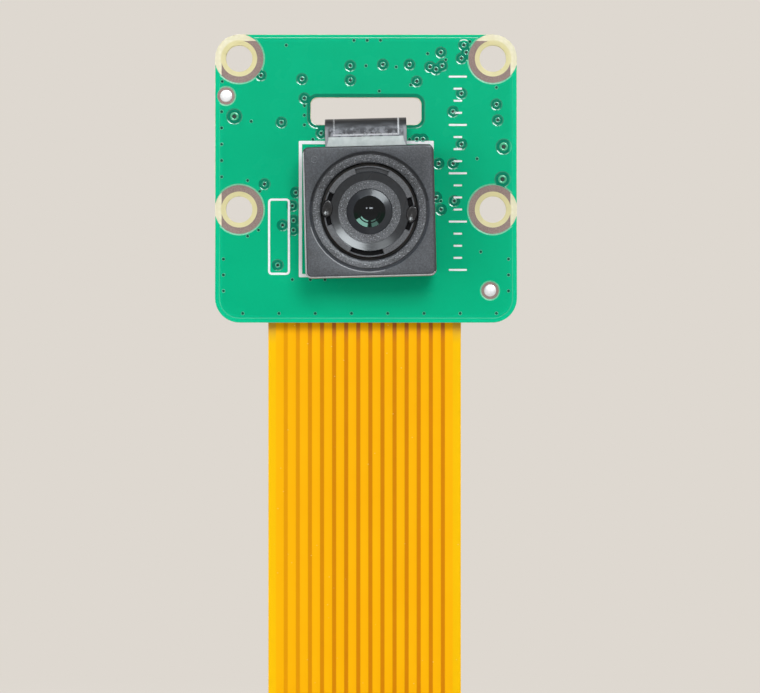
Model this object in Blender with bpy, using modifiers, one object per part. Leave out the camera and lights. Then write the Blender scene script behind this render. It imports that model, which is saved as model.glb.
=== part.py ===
"""Autofocus camera board: a small circuit board with a focusing lens module and a flat ribbon cable.

The board stands upright with its lens facing -Y and its cable hanging down -Z. The origin is where the
nominal lens axis meets the back face of the board. All sizes are in metres.
"""

import math

import bmesh
import bpy
from mathutils import Vector

MM = 0.001

# Circuit board
BOARD_WIDTH = 25.0 * MM
BOARD_HEIGHT = 23.862 * MM
BOARD_THICKNESS = 1.0 * MM
BOARD_CORNER = 2.0 * MM
HOLE_RADIUS = 1.1 * MM
HOLE_PITCH_X = 21.0 * MM
HOLE_PITCH_Y = 12.5 * MM
HOLE_TO_TOP_EDGE = 2.0 * MM
LAND_RADIUS = 2.1 * MM
LAND_DEPTH = 0.04 * MM
SLOT_WIDTH = 9.14 * MM
SLOT_HEIGHT = 2.24 * MM
SLOT_CENTRE_Y = 8.14 * MM
SLOT_CORNER = 0.6 * MM

# Gap left between pieces that touch on the real object
GAP = 0.02 * MM

# Points closer than this are one point
WELD = 0.000001

# Lens module: it sits a little off the nominal lens axis and slightly turned, as it was glued down
MODULE_OFFSET_X = 0.30 * MM
MODULE_OFFSET_Y = -0.28 * MM
MODULE_TURN = math.radians(1.44)
PAD_SIZE = 9.6 * MM
PAD_THICKNESS = 0.30 * MM
MODULE_BOARD_SIZE = 10.3 * MM
MODULE_BOARD_THICKNESS = 0.50 * MM
SENSOR_SIZE = (7.4 * MM, 5.6 * MM, 0.4 * MM)
HOLDER_THICKNESS = 1.40 * MM
HOLDER_POCKET = (8.2 * MM, 6.4 * MM, 0.7 * MM)
HOLDER_WINDOW = (6.6 * MM, 5.0 * MM)
FILTER_SIZE = (7.5 * MM, 5.9 * MM, 0.3 * MM)
FILTER_SEAT_DEPTH = 0.36 * MM
COVER_SIZE = 10.6 * MM
COVER_CORNER = 0.45 * MM
COVER_HEIGHT = 4.9 * MM
COVER_WALL = 0.4 * MM
COVER_FRONT_WALL = 0.6 * MM
COVER_EDGE_ROUND = 0.12 * MM
COVER_OPENING_RADIUS = 4.0 * MM
COVER_RECESS_RADIUS = 4.88 * MM
COVER_RECESS_DEPTH = 0.12 * MM

# Focus motor inside the cover
MOTOR_FIT = 9.6 * MM
MOTOR_BASE_THICKNESS = 0.5 * MM
MOTOR_BASE_OPENING = 3.3 * MM
SPRING_THICKNESS = 0.05 * MM
SPRING_SIZE = 9.4 * MM
SPRING_SLOT_INNER = 3.95 * MM
SPRING_SLOT_OUTER = 4.35 * MM
SPRING_SLOT_SPAN = math.radians(74)
MAGNET_LENGTH = 5.0 * MM
MAGNET_THICKNESS = 0.75 * MM
MAGNET_NEAR_FACE = 4.0 * MM
UPPER_FRAME_OPENING = 4.3 * MM

# Lens carrier, coil and barrel, which move together when the lens focuses
CARRIER_HEIGHT = 3.65 * MM
CARRIER_BORE = 3.25 * MM
CARRIER_FLANGE = 3.9 * MM
CARRIER_CORE = 3.45 * MM
CARRIER_RIM_OUTER = 3.75 * MM
CARRIER_RIM_INNER = 3.62 * MM
CARRIER_LOWER_FLANGE = 0.55 * MM
CARRIER_UPPER_FLANGE = 0.40 * MM
CARRIER_WINDING = 2.0 * MM
CARRIER_LEDGE_DROP = 0.25 * MM
TAB_COUNT = 4
TAB_FIRST_ANGLE = math.radians(40)
TAB_SPAN = math.radians(44)
TAB_RISE = 0.15 * MM
COIL_THICKNESS = 0.32 * MM
BARREL_RADIUS = 3.2 * MM
BARREL_LENGTH = 3.35 * MM
BARREL_RIM_WIDTH = 0.15 * MM
COVE_DROP = 0.26 * MM
COVE_STEPS = 6
COVE_POWER = 1.2
PLATEAU_OUTER = 2.56 * MM
PLATEAU_INNER = 1.86 * MM
PLATEAU_THICKNESS = 0.12 * MM
STOP_RADIUS = 1.30 * MM
STOP_OUTER = 1.95 * MM
STOP_THICKNESS = 0.05 * MM
LENS_RADII = (2.0 * MM, 2.15 * MM, 2.35 * MM, 2.6 * MM)
LENS_DOME_SHARE = 0.8
LENS_BACK_SHARE = 0.85
LENS_FRONT_BULGES = (0.35 * MM, -0.08 * MM, -0.06 * MM, 0)
LENS_BACK_BULGES = (-0.10 * MM, -0.12 * MM, -0.08 * MM, -0.06 * MM)
LENS_THICKNESS = (0.62 * MM, 0.50 * MM, 0.44 * MM, 0.44 * MM)
RETAINER_THICKNESS = 0.24 * MM
RETAINER_OUTER = 2.77 * MM
RETAINER_INNER = 2.2 * MM
GLUE_DOT_REACH = 0.40 * MM
GLUE_DOT_LENGTH = 0.60 * MM
GLUE_DOT_HEIGHT = 0.22 * MM
GLUE_DOT_RADIUS = 3.48 * MM
GLUE_DOT_ANGLES = {"glue_dot_left": math.radians(175), "glue_dot_right": math.radians(-5)}

# Sensor flex, from the module board through the slot to a plug on the back
FLEX_WIDTH = 6.75 * MM
FLEX_SHIFT_X = -0.15 * MM
FLEX_THICKNESS = 0.12 * MM
FLEX_TOP_Y = 7.575 * MM
FLEX_BACK_DEPTH = 1.02 * MM
FLEX_END_Y = 1.75 * MM
BEAD_FOOT_WIDTH = 7.1 * MM
BEAD_TOP_WIDTH = 6.2 * MM
BEAD_HEIGHT = 1.12 * MM
BEAD_THICKNESS = 0.20 * MM
SOCKET_SIZE = (7.4 * MM, 2.5 * MM, 0.66 * MM)
SOCKET_TRENCH = (6.6 * MM, 1.7 * MM, 0.46 * MM)
PLUG_SIZE = (6.5 * MM, 1.6 * MM, 0.70 * MM)
PLUG_CENTRE = (0.12 * MM, 3.2 * MM)
FLEX_STIFFENER_SIZE = (6.9 * MM, 2.9 * MM, 0.2 * MM)

# Ribbon connector on the back, with its mouth just inside the bottom edge
WAYS = 15
WAY_PITCH = 1.0 * MM
CONNECTOR_WIDTH = 19.8 * MM
CONNECTOR_TOP_Y = -3.2 * MM
CONNECTOR_FOOT_Y = -8.0 * MM
CONNECTOR_HEIGHT = 2.58 * MM
MOUTH_WIDTH = 16.6 * MM
MOUTH_FRONT = 1.12 * MM
MOUTH_BACK = 1.72 * MM
MOUTH_END_Y = -4.2 * MM
WEDGE_POCKET_BACK = 2.16 * MM
WEDGE_POCKET_END_Y = -5.2 * MM
CHANNEL_WIDTH = 0.40 * MM
CHANNEL_FRONT = 0.68 * MM
CHANNEL_END_Y = -6.95 * MM
CONTACT_WIDTH = 0.30 * MM
CONTACT_STOCK = 0.18 * MM
CONTACT_BEAM_DEPTH = 0.75 * MM
CONTACT_TIP_DEPTH = 1.17 * MM
CONTACT_TAIL_END_Y = -2.1 * MM
CONTACT_RISER_Y = -2.92 * MM
CONTACT_BEAM_END_Y = -6.85 * MM
CONTACT_TIP_FLAT = 0.2 * MM
CONTACT_TIP_SLOPE = 0.3 * MM
LATCH_HALF_WIDTH = 10.6 * MM
LATCH_FOOT_Y = -9.25 * MM
LATCH_FRONT = 0.25 * MM
LATCH_BACK = 2.5 * MM
LATCH_ARM_END_Y = -5.6 * MM
LATCH_ARM_FRONT = 0.7 * MM
LATCH_ARM_BACK = 2.2 * MM
LATCH_WEDGE_WIDTH = 16.2 * MM
LATCH_WEDGE_END_Y = -5.4 * MM
LATCH_WEDGE_FRONT = 1.78 * MM
LATCH_WEDGE_BACK = 2.10 * MM
HOLD_DOWN_SIZE = (0.95 * MM, 1.2 * MM, 0.5 * MM)
HOLD_DOWN_Y = -4.1 * MM

# Small parts on the back
REGULATOR_SIZE = (2.9 * MM, 1.6 * MM, 1.0 * MM)
REGULATOR_X = 6.5 * MM
REGULATOR_FIRST_Y = -0.5 * MM
REGULATOR_STEP_Y = 3.0 * MM
REGULATOR_COUNT = 3
OSCILLATOR_SIZE = (3.2 * MM, 2.5 * MM, 0.8 * MM)
OSCILLATOR_CENTRE = (-6.6 * MM, 4.6 * MM)

# Ribbon cable: it hangs straight past what is seen of it, and the rest is rolled up behind it
CABLE_LENGTH = 150.0 * MM
CABLE_WIDTH = 16.0 * MM
CABLE_THICKNESS = 0.20 * MM
CABLE_DEPTH = 1.30 * MM
CABLE_TOP_Y = -4.4 * MM
ROLL_START_Y = -49.0 * MM
ROLL_RADIUS = 7.6 * MM
ROLL_PITCH = 0.9 * MM
ROLL_POINTS_PER_TURN = 24
CURL_RADIUS = 2.6 * MM
CURL_TURN = math.radians(100)
CURL_STEPS = 10
FLAT_END = 6.5 * MM
CABLE_STIFFENER_THICKNESS = 0.20 * MM
NEAR_STIFFENER_LENGTH = 8.0 * MM
FAR_STIFFENER_LENGTH = 6.0 * MM
TIE_WIDTH = 3.0 * MM
TIE_THICKNESS = 0.25 * MM
TIE_SLACK = 0.10 * MM
TIE_CORNER = 0.30 * MM

# Heights of the stack of pieces in the lens module, measured forwards from the front face of the board
PAD_LOW = GAP
MODULE_BOARD_LOW = PAD_LOW + PAD_THICKNESS + GAP
HOLDER_LOW = MODULE_BOARD_LOW + MODULE_BOARD_THICKNESS + GAP
COVER_LOW = HOLDER_LOW + HOLDER_THICKNESS + 2 * GAP
COVER_HIGH = COVER_LOW + COVER_HEIGHT
MOTOR_BASE_HIGH = COVER_LOW + MOTOR_BASE_THICKNESS
LOWER_SPRING_LOW = MOTOR_BASE_HIGH + 2 * GAP
CARRIER_LOW = LOWER_SPRING_LOW + SPRING_THICKNESS + 2 * GAP
WINDING_LOW = CARRIER_LOW + CARRIER_LOWER_FLANGE
WINDING_HIGH = WINDING_LOW + CARRIER_WINDING
FLANGE_HIGH = WINDING_HIGH + CARRIER_UPPER_FLANGE
CARRIER_HIGH = CARRIER_LOW + CARRIER_HEIGHT
UPPER_SPRING_LOW = FLANGE_HIGH + 2 * GAP
UPPER_FRAME_LOW = UPPER_SPRING_LOW + SPRING_THICKNESS + GAP
UPPER_FRAME_HIGH = COVER_HIGH - COVER_FRONT_WALL - GAP
MAGNET_LOW = LOWER_SPRING_LOW + SPRING_THICKNESS + 8 * GAP
MAGNET_HIGH = UPPER_SPRING_LOW - GAP
BARREL_HIGH = CARRIER_HIGH
BARREL_LOW = BARREL_HIGH - BARREL_LENGTH
PLATEAU_HIGH = BARREL_HIGH - COVE_DROP
LENS_SEAT_HIGH = PLATEAU_HIGH - PLATEAU_THICKNESS
BOARD_BOTTOM_Y = HOLE_PITCH_Y + HOLE_TO_TOP_EDGE - BOARD_HEIGHT


def clear_scene():
    for obj in list(bpy.data.objects):
        bpy.data.objects.remove(obj, do_unlink=True)


def new_collection(name):
    collection = bpy.data.collections.new(name)
    bpy.context.scene.collection.children.link(collection)
    return collection


def new_material(name, colour, roughness, metallic=0.0):
    material = bpy.data.materials.new(name)
    material.use_nodes = True
    shader = material.node_tree.nodes["Principled BSDF"]
    shader.inputs["Base Color"].default_value = (*colour, 1.0)
    shader.inputs["Roughness"].default_value = roughness
    shader.inputs["Metallic"].default_value = metallic
    return material


clear_scene()
PARTS = new_collection("autofocus_camera_board")
CUTTERS = new_collection("cutters")

GREEN_MASK = new_material("green_solder_mask", (0.0, 0.45, 0.22), 0.35)
BLACK_PLASTIC = new_material("black_plastic", (0.06, 0.06, 0.065), 0.55)
GLOSS_BLACK = new_material("gloss_black_plastic", (0.03, 0.03, 0.032), 0.25)
GREY_FOAM = new_material("grey_foam", (0.25, 0.25, 0.25), 0.9)
LENS_GLASS = new_material("lens_glass", (0.02, 0.03, 0.03), 0.03)
SILICON = new_material("silicon", (0.12, 0.10, 0.16), 0.2, 0.4)
STEEL = new_material("spring_steel", (0.6, 0.6, 0.6), 0.3, 1.0)
MAGNET_METAL = new_material("magnet_metal", (0.45, 0.45, 0.47), 0.35, 1.0)
COPPER = new_material("copper_wire", (0.72, 0.36, 0.2), 0.3, 1.0)
TIN = new_material("tin_plate", (0.75, 0.75, 0.76), 0.3, 1.0)
FLEX_FILM = new_material("dark_flex_film", (0.13, 0.13, 0.14), 0.4)
PALE_GLUE = new_material("pale_glue", (0.55, 0.6, 0.58), 0.5)
IVORY_PLASTIC = new_material("ivory_plastic", (0.75, 0.7, 0.6), 0.5)
AMBER_FILM = new_material("amber_film", (1.0, 0.5, 0.0), 0.35)
BLUE_STIFFENER = new_material("blue_stiffener", (0.03, 0.12, 0.5), 0.4)
TIE_PLASTIC = new_material("tie_plastic", (0.04, 0.04, 0.04), 0.6)


def new_frame(name, parent=None):
    frame = bpy.data.objects.new(name, None)
    PARTS.objects.link(frame)
    frame.parent = parent
    return frame


# In the board's frame x runs right and y up as seen from the lens side, and z forwards from the back face.
BOARD_FRAME = new_frame("board_frame")
BOARD_FRAME.rotation_euler = (math.radians(90), 0, 0)

# The lens module's frame lies on the front face of the board, with z along the real lens axis.
LENS_AXIS = new_frame("lens_axis", BOARD_FRAME)
LENS_AXIS.location = (MODULE_OFFSET_X, MODULE_OFFSET_Y, BOARD_THICKNESS)
LENS_AXIS.rotation_euler = (0, 0, MODULE_TURN)

# The latch slides along y from the mouth of the ribbon connector.
LATCH_GUIDE = new_frame("latch_guide", BOARD_FRAME)
LATCH_GUIDE.location = (0, CONNECTOR_FOOT_Y, -CABLE_DEPTH)


def place(obj, material, parent, cutter=False):
    """Put an object in its collection, under its frame, with its material."""
    (CUTTERS if cutter else PARTS).objects.link(obj)
    obj.parent = parent
    if cutter:
        obj.hide_render = True
        obj.display_type = "WIRE"
    else:
        obj.data.materials.append(material)
    return obj


def block(name, low, high, material, parent, cutter=False):
    """A box between two corners, with its origin at its middle."""
    mesh = bpy.data.meshes.new(name)
    shape = bmesh.new()
    bmesh.ops.create_cube(shape, size=1.0)
    size = [top - bottom for bottom, top in zip(low, high)]
    bmesh.ops.scale(shape, vec=size, verts=shape.verts)
    shape.to_mesh(mesh)
    shape.free()
    obj = bpy.data.objects.new(name, mesh)
    obj.location = [(bottom + top) / 2 for bottom, top in zip(low, high)]
    return place(obj, material, parent, cutter)


def centred_block(name, size, centre, low_z, material, parent, cutter=False):
    """A box of a given size round a centre in x and y, standing on a height."""
    low = (centre[0] - size[0] / 2, centre[1] - size[1] / 2, low_z)
    high = (centre[0] + size[0] / 2, centre[1] + size[1] / 2, low_z + size[2])
    return block(name, low, high, material, parent, cutter)


def arc(centre, radius, start, end, steps):
    """Points on an arc, both ends included."""
    angles = [start + (end - start) * step / steps for step in range(steps + 1)]
    return [(centre[0] + radius * math.cos(a), centre[1] + radius * math.sin(a)) for a in angles]


def circle(centre, radius, count):
    return arc(centre, radius, 0, 2 * math.pi, count)[:-1]


def rounded_rectangle(width, height, radius, centre=(0, 0), steps=6):
    points = []
    corners = ((1, 1), (-1, 1), (-1, -1), (1, -1))
    for quarter, (side_x, side_y) in enumerate(corners):
        corner = (centre[0] + side_x * (width / 2 - radius), centre[1] + side_y * (height / 2 - radius))
        start = quarter * math.pi / 2
        points += arc(corner, radius, start, start + math.pi / 2, steps)
    return points


def ring_sector(inner, outer, middle, span, steps=8):
    start = middle - span / 2
    end = middle + span / 2
    return arc((0, 0), outer, start, end, steps) + arc((0, 0), inner, end, start, steps)


def sheet(name, loops, low_z, high_z, material, parent, cutter=False):
    """A flat outline, with any holes, given thickness and made into one closed mesh."""
    curve = bpy.data.curves.new(name, "CURVE")
    curve.dimensions = "2D"
    curve.fill_mode = "BOTH"
    curve.extrude = (high_z - low_z) / 2
    for loop in loops:
        spline = curve.splines.new("POLY")
        spline.points.add(len(loop) - 1)
        spline.use_cyclic_u = True
        for point, (x, y) in zip(spline.points, loop):
            point.co = (x, y, 0, 1)
    outline = bpy.data.objects.new(name + "_outline", curve)
    bpy.context.scene.collection.objects.link(outline)
    graph = bpy.context.evaluated_depsgraph_get()
    mesh = bpy.data.meshes.new_from_object(outline.evaluated_get(graph))
    bpy.data.objects.remove(outline, do_unlink=True)
    shape = bmesh.new()
    shape.from_mesh(mesh)
    bmesh.ops.remove_doubles(shape, verts=shape.verts, dist=WELD)
    bmesh.ops.recalc_face_normals(shape, faces=shape.faces)
    shape.to_mesh(mesh)
    shape.free()
    mesh.name = name
    obj = bpy.data.objects.new(name, mesh)
    obj.location = (0, 0, (low_z + high_z) / 2)
    return place(obj, material, parent, cutter)


def turned(name, profile, material, parent, steps=40, closed=False, cutter=False):
    """A profile of (radius, height) points turned about z. It runs down the outer side."""
    mesh = bpy.data.meshes.new(name)
    points = [(radius, 0, height) for radius, height in profile]
    edges = [(index, index + 1) for index in range(len(points) - 1)]
    if closed:
        edges.append((len(points) - 1, 0))
    mesh.from_pydata(points, edges, [])
    obj = bpy.data.objects.new(name, mesh)
    screw = obj.modifiers.new("Turn", "SCREW")
    screw.steps = steps
    screw.render_steps = steps
    screw.use_merge_vertices = True
    screw.merge_threshold = WELD
    screw.use_smooth_shade = True
    return place(obj, material, parent, cutter)


def cylinder(name, radius, low_z, high_z, parent, steps=48):
    """A round cutter about its frame's axis."""
    profile = [(0, high_z), (radius, high_z), (radius, low_z), (0, low_z)]
    return turned(name, profile, None, parent, steps, cutter=True)


def combine(obj, other, operation):
    boolean = obj.modifiers.new(operation.title() + "_" + other.name, "BOOLEAN")
    boolean.operation = operation
    boolean.solver = "EXACT"
    boolean.object = other


def cut(obj, *cutters):
    for cutter in cutters:
        combine(obj, cutter, "DIFFERENCE")


def join(obj, *others):
    for other in others:
        combine(obj, other, "UNION")


def round_edges(obj, width, segments=2):
    bevel = obj.modifiers.new("Round", "BEVEL")
    bevel.width = width
    bevel.segments = segments
    bevel.limit_method = "ANGLE"
    bevel.angle_limit = math.radians(50)


def strip(name, path, width, thickness, material, parent):
    """A flat strip of even thickness along a path of (y, z) points, as wide as it says along x."""
    curve = bpy.data.curves.new(name, "CURVE")
    curve.dimensions = "2D"
    curve.fill_mode = "NONE"
    curve.extrude = width / 2
    spline = curve.splines.new("POLY")
    spline.points.add(len(path) - 1)
    for point, (y, z) in zip(spline.points, path):
        point.co = (y, z, 0, 1)
    obj = bpy.data.objects.new(name, curve)
    obj.rotation_euler = (math.radians(90), 0, math.radians(90))
    solid = obj.modifiers.new("Thickness", "SOLIDIFY")
    solid.thickness = thickness
    solid.offset = 0
    return place(obj, material, parent)


# Circuit board
def hole_centres():
    return [(side * HOLE_PITCH_X / 2, row) for row in (0, HOLE_PITCH_Y) for side in (-1, 1)]


def make_circuit_board():
    middle_y = BOARD_BOTTOM_Y + BOARD_HEIGHT / 2
    loops = [rounded_rectangle(BOARD_WIDTH, BOARD_HEIGHT, BOARD_CORNER, (0, middle_y))]
    loops.append(rounded_rectangle(SLOT_WIDTH, SLOT_HEIGHT, SLOT_CORNER, (0, SLOT_CENTRE_Y), 4))
    loops += [circle(centre, HOLE_RADIUS, 32) for centre in hole_centres()]
    board = sheet("circuit_board", loops, 0, BOARD_THICKNESS, GREEN_MASK, BOARD_FRAME)
    faces = ((-LAND_DEPTH, LAND_DEPTH), (BOARD_THICKNESS - LAND_DEPTH, BOARD_THICKNESS + LAND_DEPTH))
    for index, centre in enumerate(hole_centres()):
        for side, (low, high) in zip(("back", "front"), faces):
            land = cylinder(f"land_cutter_{side}_{index}", LAND_RADIUS, low, high, BOARD_FRAME, 36)
            land.location = (*centre, 0)
            cut(board, land)


# Lens module, from the board forwards
def make_sensor_stack():
    centre = (0, 0)
    pad = (PAD_SIZE, PAD_SIZE, PAD_THICKNESS)
    centred_block("module_adhesive", pad, centre, PAD_LOW, GREY_FOAM, LENS_AXIS)
    base = (MODULE_BOARD_SIZE, MODULE_BOARD_SIZE, MODULE_BOARD_THICKNESS)
    centred_block("module_board", base, centre, MODULE_BOARD_LOW, GREEN_MASK, LENS_AXIS)
    centred_block("image_sensor", SENSOR_SIZE, centre, HOLDER_LOW, SILICON, LENS_AXIS)

    holder_size = (MODULE_BOARD_SIZE, MODULE_BOARD_SIZE, HOLDER_THICKNESS)
    holder = centred_block("filter_holder", holder_size, centre, HOLDER_LOW, BLACK_PLASTIC, LENS_AXIS)
    holder_high = HOLDER_LOW + HOLDER_THICKNESS
    seat_low = holder_high - FILTER_SEAT_DEPTH
    spare = 4 * GAP
    pocket = (HOLDER_POCKET[0], HOLDER_POCKET[1], HOLDER_POCKET[2] + GAP)
    seat = (FILTER_SIZE[0] + spare, FILTER_SIZE[1] + spare, FILTER_SEAT_DEPTH + GAP)
    window = (*HOLDER_WINDOW, HOLDER_THICKNESS)
    cut(
        holder,
        centred_block("holder_pocket", pocket, centre, HOLDER_LOW - GAP, None, LENS_AXIS, True),
        centred_block("filter_seat", seat, centre, seat_low, None, LENS_AXIS, True),
        centred_block("holder_window", window, centre, HOLDER_LOW, None, LENS_AXIS, True),
    )
    centred_block("infrared_filter", FILTER_SIZE, centre, seat_low + GAP, LENS_GLASS, LENS_AXIS)


def make_cover():
    outline = [rounded_rectangle(COVER_SIZE, COVER_SIZE, COVER_CORNER, steps=5)]
    cover = sheet("module_cover", outline, COVER_LOW, COVER_HIGH, BLACK_PLASTIC, LENS_AXIS)
    round_edges(cover, COVER_EDGE_ROUND)
    inside = COVER_SIZE - 2 * COVER_WALL
    cavity_high = COVER_HIGH - COVER_FRONT_WALL
    cavity = [rounded_rectangle(inside, inside, COVER_CORNER / 2, steps=3)]
    recess_low = COVER_HIGH - COVER_RECESS_DEPTH
    above = COVER_HIGH + COVER_FRONT_WALL
    cut(
        cover,
        sheet("cover_cavity", cavity, COVER_LOW - COVER_WALL, cavity_high, None, LENS_AXIS, True),
        cylinder("cover_opening", COVER_OPENING_RADIUS, COVER_LOW, above, LENS_AXIS, 56),
        cylinder("cover_recess", COVER_RECESS_RADIUS, recess_low, above, LENS_AXIS, 56),
    )


def make_leaf_spring(name, low, inner_radius):
    """A thin sprung plate: curved slots leave four arms between its frame and its inner ring."""
    loops = [rounded_rectangle(SPRING_SIZE, SPRING_SIZE, COVER_CORNER, steps=3)]
    loops.append(circle((0, 0), inner_radius, 36))
    for quarter in range(4):
        middle = math.radians(45) + quarter * math.pi / 2
        loops.append(ring_sector(SPRING_SLOT_INNER, SPRING_SLOT_OUTER, middle, SPRING_SLOT_SPAN))
    sheet(name, loops, low, low + SPRING_THICKNESS, STEEL, LENS_AXIS)


def make_motor_frame():
    base = [rounded_rectangle(MOTOR_FIT, MOTOR_FIT, COVER_CORNER / 2, steps=3)]
    base.append(circle((0, 0), MOTOR_BASE_OPENING, 36))
    sheet("motor_base", base, COVER_LOW, MOTOR_BASE_HIGH, BLACK_PLASTIC, LENS_AXIS)
    make_leaf_spring("lower_spring", LOWER_SPRING_LOW, CARRIER_BORE)
    make_leaf_spring("upper_spring", UPPER_SPRING_LOW, CARRIER_RIM_OUTER + 2 * GAP)
    frame = [rounded_rectangle(MOTOR_FIT, MOTOR_FIT, COVER_CORNER / 2, steps=3)]
    frame.append(circle((0, 0), UPPER_FRAME_OPENING, 36))
    sheet("upper_frame", frame, UPPER_FRAME_LOW, UPPER_FRAME_HIGH, BLACK_PLASTIC, LENS_AXIS)
    far_face = MAGNET_NEAR_FACE + MAGNET_THICKNESS
    half = MAGNET_LENGTH / 2
    sides = {
        "magnet_top": ((-half, MAGNET_NEAR_FACE), (half, far_face)),
        "magnet_bottom": ((-half, -far_face), (half, -MAGNET_NEAR_FACE)),
        "magnet_left": ((-far_face, -half), (-MAGNET_NEAR_FACE, half)),
        "magnet_right": ((MAGNET_NEAR_FACE, -half), (far_face, half)),
    }
    for name, (low, high) in sides.items():
        block(name, (*low, MAGNET_LOW), (*high, MAGNET_HIGH), MAGNET_METAL, LENS_AXIS)


def make_carrier():
    ledge = CARRIER_HIGH - CARRIER_LEDGE_DROP
    profile = [
        (CARRIER_RIM_INNER, CARRIER_HIGH),
        (CARRIER_RIM_OUTER, CARRIER_HIGH),
        (CARRIER_RIM_OUTER, FLANGE_HIGH),
        (CARRIER_FLANGE, FLANGE_HIGH),
        (CARRIER_FLANGE, WINDING_HIGH),
        (CARRIER_CORE, WINDING_HIGH),
        (CARRIER_CORE, WINDING_LOW),
        (CARRIER_FLANGE, WINDING_LOW),
        (CARRIER_FLANGE, CARRIER_LOW),
        (CARRIER_BORE, CARRIER_LOW),
        (CARRIER_BORE, ledge),
        (CARRIER_RIM_INNER, ledge),
    ]
    carrier = turned("lens_carrier", profile, BLACK_PLASTIC, LENS_AXIS, 48, closed=True)
    for index in range(TAB_COUNT):
        middle = TAB_FIRST_ANGLE + index * 2 * math.pi / TAB_COUNT
        outline = [ring_sector(CARRIER_BORE + GAP, CARRIER_RIM_OUTER - GAP, middle, TAB_SPAN)]
        foot = ledge - CARRIER_LEDGE_DROP / 2
        tab = sheet(f"tab_{index}", outline, foot, CARRIER_HIGH + TAB_RISE, None, LENS_AXIS, True)
        join(carrier, tab)
    inner = CARRIER_CORE + 2 * GAP
    outer = inner + COIL_THICKNESS
    low = WINDING_LOW + 2 * GAP
    high = WINDING_HIGH - 2 * GAP
    winding = [(inner, high), (outer, high), (outer, low), (inner, low)]
    turned("voice_coil", winding, COPPER, LENS_AXIS, 48, closed=True)


def lens_heights():
    """Lowest and highest rim height of each lens, front lens first."""
    spans = []
    high = LENS_SEAT_HIGH - GAP
    for index, thickness in enumerate(LENS_THICKNESS):
        spans.append((high - thickness, high))
        high -= thickness + 3 * GAP
        if index == 0:
            high -= STOP_THICKNESS
    return spans


def make_barrel():
    rim_inner = BARREL_RADIUS - BARREL_RIM_WIDTH
    profile = [(PLATEAU_INNER, PLATEAU_HIGH), (PLATEAU_OUTER, PLATEAU_HIGH)]
    for step in range(1, COVE_STEPS + 1):
        share = step / COVE_STEPS
        radius = PLATEAU_OUTER + (rim_inner - PLATEAU_OUTER) * share
        profile.append((radius, PLATEAU_HIGH + COVE_DROP * share ** COVE_POWER))
    profile.append((BARREL_RADIUS, BARREL_HIGH))
    profile.append((BARREL_RADIUS, BARREL_LOW))
    spans = lens_heights()
    seat = RETAINER_OUTER + 1.5 * GAP
    profile.append((seat, BARREL_LOW))
    profile.append((seat, spans[-1][0] - GAP))
    for (low, high), radius in reversed(list(zip(spans, LENS_RADII))):
        wall = radius + 1.5 * GAP
        profile.append((wall, low - GAP))
        profile.append((wall, high + GAP))
    profile.append((PLATEAU_INNER, LENS_SEAT_HIGH))
    turned("lens_barrel", profile, BLACK_PLASTIC, LENS_AXIS, 40, closed=True)


def lens_profile(radius, low, high, front_radius, front_bulge, back_bulge, steps=5):
    """A lens with a flat rim, a domed front of its own radius and a back that may be hollow."""
    points = []
    for step in range(steps + 1):
        r = front_radius * step / steps
        points.append((r, high + front_bulge * (1 - (r / front_radius) ** 2)))
    points += [(radius, high), (radius, low)]
    back_radius = radius * LENS_BACK_SHARE
    for step in range(steps, -1, -1):
        r = back_radius * step / steps
        points.append((r, low - back_bulge * (1 - (r / back_radius) ** 2)))
    return points


def make_lenses():
    bulges = zip(LENS_FRONT_BULGES, LENS_BACK_BULGES)
    names = ("front_lens", "second_lens", "third_lens", "rear_lens")
    spans = lens_heights()
    for name, radius, (low, high), (front, back) in zip(names, LENS_RADII, spans, bulges):
        front_radius = PLATEAU_INNER - 2 * GAP if name == "front_lens" else radius * LENS_DOME_SHARE
        profile = lens_profile(radius, low, high, front_radius, front, back)
        turned(name, profile, LENS_GLASS, LENS_AXIS, 28)
    high = spans[0][0] - 2 * GAP
    low = high - STOP_THICKNESS
    ring = [(STOP_RADIUS, high), (STOP_OUTER, high), (STOP_OUTER, low), (STOP_RADIUS, low)]
    turned("aperture_stop", ring, BLACK_PLASTIC, LENS_AXIS, 32, closed=True)
    high = spans[-1][0] - 2 * GAP
    low = high - RETAINER_THICKNESS
    outer = RETAINER_OUTER
    ring = [(RETAINER_INNER, high), (outer, high), (outer, low), (RETAINER_INNER, low)]
    turned("retaining_ring", ring, BLACK_PLASTIC, LENS_AXIS, 32, closed=True)


def make_glue_dots():
    """Flat-footed domes that bridge the barrel and the carrier's rim."""
    steps = 4
    for name, angle in GLUE_DOT_ANGLES.items():
        profile = []
        for step in range(steps + 1):
            turn = math.pi / 2 * step / steps
            profile.append((math.sin(turn), GLUE_DOT_HEIGHT * math.cos(turn)))
        profile.append((0, 0))
        unit = [(radius * GLUE_DOT_REACH, height) for radius, height in profile]
        dot = turned(name, unit, GLOSS_BLACK, LENS_AXIS, 16)
        x = GLUE_DOT_RADIUS * math.cos(angle)
        y = GLUE_DOT_RADIUS * math.sin(angle)
        dot.location = (x, y, CARRIER_HIGH + GAP)
        dot.rotation_euler = (0, 0, angle)
        dot.scale = (1, GLUE_DOT_LENGTH / GLUE_DOT_REACH, 1)


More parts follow.
